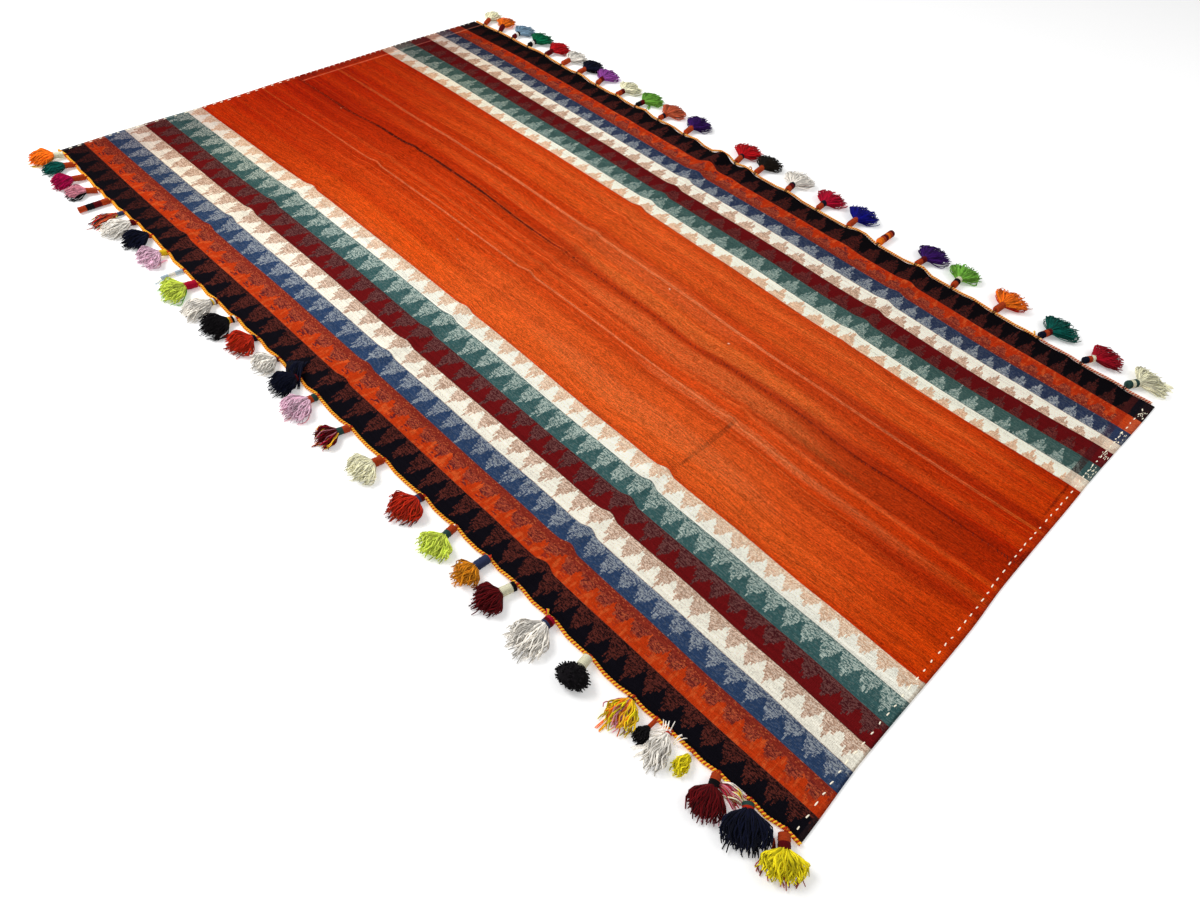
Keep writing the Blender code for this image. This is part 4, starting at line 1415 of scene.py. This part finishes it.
# %% Loose bundles; places in mm
BUNDLE_FIELDS = "x_from y_from x_to y_to count spread lift colours"
LOOSE_LEFT = table(
    BUNDLE_FIELDS,
    (-842, 104, -782, 158, 70, 46, 18, "navy black navy"),
    (-778, 148, -838, 100, 60, 44, 20, "navy"), (-822, 704, -866, 695, 12, 5, 7, "lilac pink"),
    (-838, -1078, -808, -1056, 4, 44, 9, "white"), (-852, -1048, -812, -1072, 4, 24, 10, "white"),
    (-828, -1096, -802, -1098, 3, 18, 9, "white"), (-838, -1074, -884, -1046, 7, 44, 8, "white"),
    (-824, -1200, -822, -1246, 54, 34, 16, "pink crimson white blush"),
    (-820, -1250, -828, -1206, 54, 34, 16, "pink red cream lemon"),
    (-852, -984, -905, -984, 6, 14, 5, "yellow orange"),
    (-862, 637, -892, 634, 12, 8, 5, "pale_blue white"),
    (-818, -756, -806, -744, 9, 8, 7, "yellow crimson"),
    (-850, -100, -905, -92, 5, 16, 8, "orange maroon"),
    (-826, 952, -880, 970, 8, 14, 8, "pale_blue cream leaf"),
    (-830, 300, -866, 352, 9, 9, 16, "red"), (-822, -478, -812, -468, 6, 6, 6, "white pink"),
    (-818, -586, -808, -574, 5, 6, 5, "brick"), (-826, -1322, -846, -1340, 6, 12, 8, "rust maroon"))
LOOSE_RIGHT = table(
    BUNDLE_FIELDS,
    (892, 522, 850, 498, 7, 12, 6, "leaf"), (905, 306, 950, 338, 14, 6, 8, "indigo"),
    (905, -2, 951, 26, 13, 6, 8, "olive black"), (884, -1308, 902, -1378, 18, 26, 8, "cream"),
    (850, 80, 868, 96, 8, 8, 12, "white pink"), (900, -370, 948, -352, 8, 8, 10, "royal"),
    (822, -1010, 812, -1020, 5, 6, 6, "navy gold"), (820, 20, 830, 12, 4, 5, 5, "gold salmon"))
CORD_REACH = 0.0075       # a strand this near to the cord's middle lies on the cord
LOOSE_LOWEST = 0.0012     # a loose strand's middle above what it lies on


def lie_height(x, y):
    """Height of what lies below a place: the cord, the cloth or the floor."""
    route = LEFT_ROUTE if x < 0.0 else RIGHT_ROUTE
    middle = cord_at(route, y)
    if abs(x - middle.x) < CORD_REACH and route[0].y < y < route[-1].y:
        return middle.z + CORD_RADIUS
    if left_x(y) < x < right_x(y):
        return cloth_height(x, y) + CLOTH_THICK
    return 0.0


def bundle_strands(bundle, chance):
    colours = bundle.colours.split()
    start = Vector((bundle.x_from, bundle.y_from, 0.0)) * MM
    end = Vector((bundle.x_to, bundle.y_to, 0.0)) * MM
    square = (end - start).cross(Vector((0.0, 0.0, 1.0))).normalized()
    strands = []
    for index in range(bundle.count):
        off = chance.uniform(-1.0, 1.0)
        level = chance.random()
        places = []
        for share in (0.0, 0.35, 0.7, 1.0):
            place = start.lerp(end, share * chance.uniform(0.86, 1.08))
            place += square * off * bundle.spread * MM * mix(0.25, 1.0, share) * 0.5
            rise = math.sin(math.pi * min(share + 0.12, 1.0)) * bundle.lift * MM * level
            place.z = lie_height(place.x, place.y) + YARN_RADIUS + rise
            places.append(place)
        points = curved(places, 3)
        for point in points:
            point.z = max(point.z, lie_height(point.x, point.y) + LOOSE_LOWEST)
        strands.append(Strand(points, colours[index % len(colours)], YARN_RADIUS * 0.85))
    return strands


for side, bundles in (("left", LOOSE_LEFT), ("right", LOOSE_RIGHT)):
    chance = random.Random(31)
    strands = [strand for bundle in bundles for strand in bundle_strands(bundle, chance)]
    colours = list(dict.fromkeys(strand.colour for strand in strands))
    mesh = strands_mesh(f"{side}_loose_yarn", strands, colours, 8)
    add_piece(f"{side}_loose_yarn", mesh, "white_wool_yarn")
    print(side, len(strands), "loose strands")

# %% [markdown]
# ## Sewing
# White running stitches hold the hem at both ends, and dark stitches join the panels. Each
# stitch is a short length of thread that rises out of the cloth and goes back in.

# %% Stitches
THREAD = 0.0007           # half thickness of the fine threads
STITCH_RISE = 0.0006
SEAM_PARTS = 80


def on_cloth(x, y, above):
    return Vector((x, y, cloth_height(x, y) + CLOTH_THICK + above))


def stitch(x, y, long, slant, colour, radius):
    """A thread from one place to another, bowed up between them."""
    points = []
    for share, lift in ((0.0, -0.4), (0.3, 0.8), (0.7, 0.8), (1.0, -0.4)):
        points.append(on_cloth(x + long * share, y + slant * share, STITCH_RISE * lift))
    return Strand(points, colour, radius)


def sew(name, strands, colours, seed):
    return add_piece(name, strands_mesh(name, strands, colours, seed), "striped_wool_cloth")


chance = random.Random(21)
hem = []
x = -0.785
while x < 0.775:
    length = chance.uniform(0.006, 0.011)
    y = along(NEAR_END_Y, x) + 0.018 + 0.003 * noise.noise(Vector((x * 5.0, 0.0, 0.0)))
    hem.append(stitch(x, y, length, chance.uniform(-0.0015, 0.0015), "thread_white", 0.0014))
    x += chance.uniform(0.022, 0.030)
x = -0.78
while x < -0.02:
    length = chance.uniform(0.007, 0.012)
    y = along(FAR_END_Y, x) - 0.008 + chance.uniform(-0.001, 0.001)
    hem.append(stitch(x, y, length, chance.uniform(-0.001, 0.001), "thread_white", 0.0015))
    x += chance.uniform(0.025, 0.036)
while x < 0.78:
    hem.append(stitch(x, along(FAR_END_Y, x) - 0.008, 0.005, 0.007, "thread_white", 0.0013))
    x += chance.uniform(0.020, 0.026)
for low_x, high_x in ((0.710, 0.752), (0.580, 0.624), (0.488, 0.526), (0.402, 0.452)):
    for _ in range(15):
        x = chance.uniform(low_x, high_x)
        y = along(NEAR_END_Y, x) + chance.uniform(0.003, 0.022)
        hem.append(stitch(x, y, chance.uniform(0.003, 0.008), 0.0, "thread_white", THREAD))
hem_mesh = sew("hem_stitches", hem, ["thread_white"], 4).data
store_tones(hem_mesh, [0.85] * len(hem_mesh.vertices))

seam = []
y = -1.352
while y < 1.365:
    strong = 0.10 <= y <= 0.95
    if strong or chance.random() < 0.55:
        half = chance.uniform(0.003, 0.006)
        slant = chance.uniform(0.002, 0.007)
        dark = "thread_dark" if strong else "seam_brown"
        colour = dark if chance.random() < 0.75 else "brick"
        seam.append(stitch(seam_x(y) - half, y, 2.0 * half, slant, colour, THREAD))
    y += chance.uniform(0.006, 0.010)
sew("seam_stitches", seam, ["thread_dark", "seam_brown", "brick"], 5)

laid = []
for low, high, colour in (
    (-1.355, 0.10, "field_thread"), (0.10, 0.96, "thread_dark"), (0.96, 1.37, "field_thread"),
):
    points = []
    for step in range(SEAM_PARTS + 1):
        y = mix(low, high, step / SEAM_PARTS)
        points.append(on_cloth(seam_x(y) + 0.0006 * math.sin(y * 190.0), y, -0.0009))
    laid.append(Strand(points, colour, 0.0013))
sew("seam_thread", laid, ["field_thread", "thread_dark"], 6)
print(len(hem), "hem stitches,", len(seam), "seam stitches")

# %% [markdown]
# ## Floor and light
# The rug lies on a plain pale floor. One wide soft light stands high behind it, a second fills
# in from the front, and the pale world lights the rest, so the shadows stay soft.

# %% Floor
floor_paint = bpy.data.materials.new("floor_paint")
floor_paint.use_nodes = True
floor_shader = floor_paint.node_tree.nodes["Principled BSDF"]
for label, value in (("Base Color", (0.94, 0.94, 0.94, 1.0)), ("Roughness", 0.7),
                     ("Emission Color", (1.0, 1.0, 1.0, 1.0)), ("Emission Strength", 0.27)):
    floor_shader.inputs[label].default_value = value
bm = bmesh.new()
bmesh.ops.create_grid(bm, x_segments=1, y_segments=1, size=14.0)
floor = add_object("floor", finish_mesh("floor", bm, [floor_paint]))
floor.location.z = -0.0005

# %% Lights


def soft_light(name, place, size, power):
    """A round light that looks at the middle of the rug."""
    data = bpy.data.lights.new(name, "AREA")
    data.shape = "DISK"
    data.size = size
    data.energy = power
    lamp = add_object(name, data)
    lamp.location = place
    lamp.rotation_euler = (-Vector(place)).to_track_quat("-Z", "Y").to_euler()


soft_light("key_light", (-1.6, 2.6, 3.4), 2.6, 150.0)
soft_light("fill_light", (2.6, -2.6, 3.2), 3.0, 44.0)
world = bpy.context.scene.world or bpy.data.worlds.new("studio")
bpy.context.scene.world = world
world.use_nodes = True
backdrop = world.node_tree.nodes["Background"]
backdrop.inputs["Color"].default_value = (1.0, 1.0, 1.0, 1.0)
backdrop.inputs["Strength"].default_value = 0.43
print("lights set")
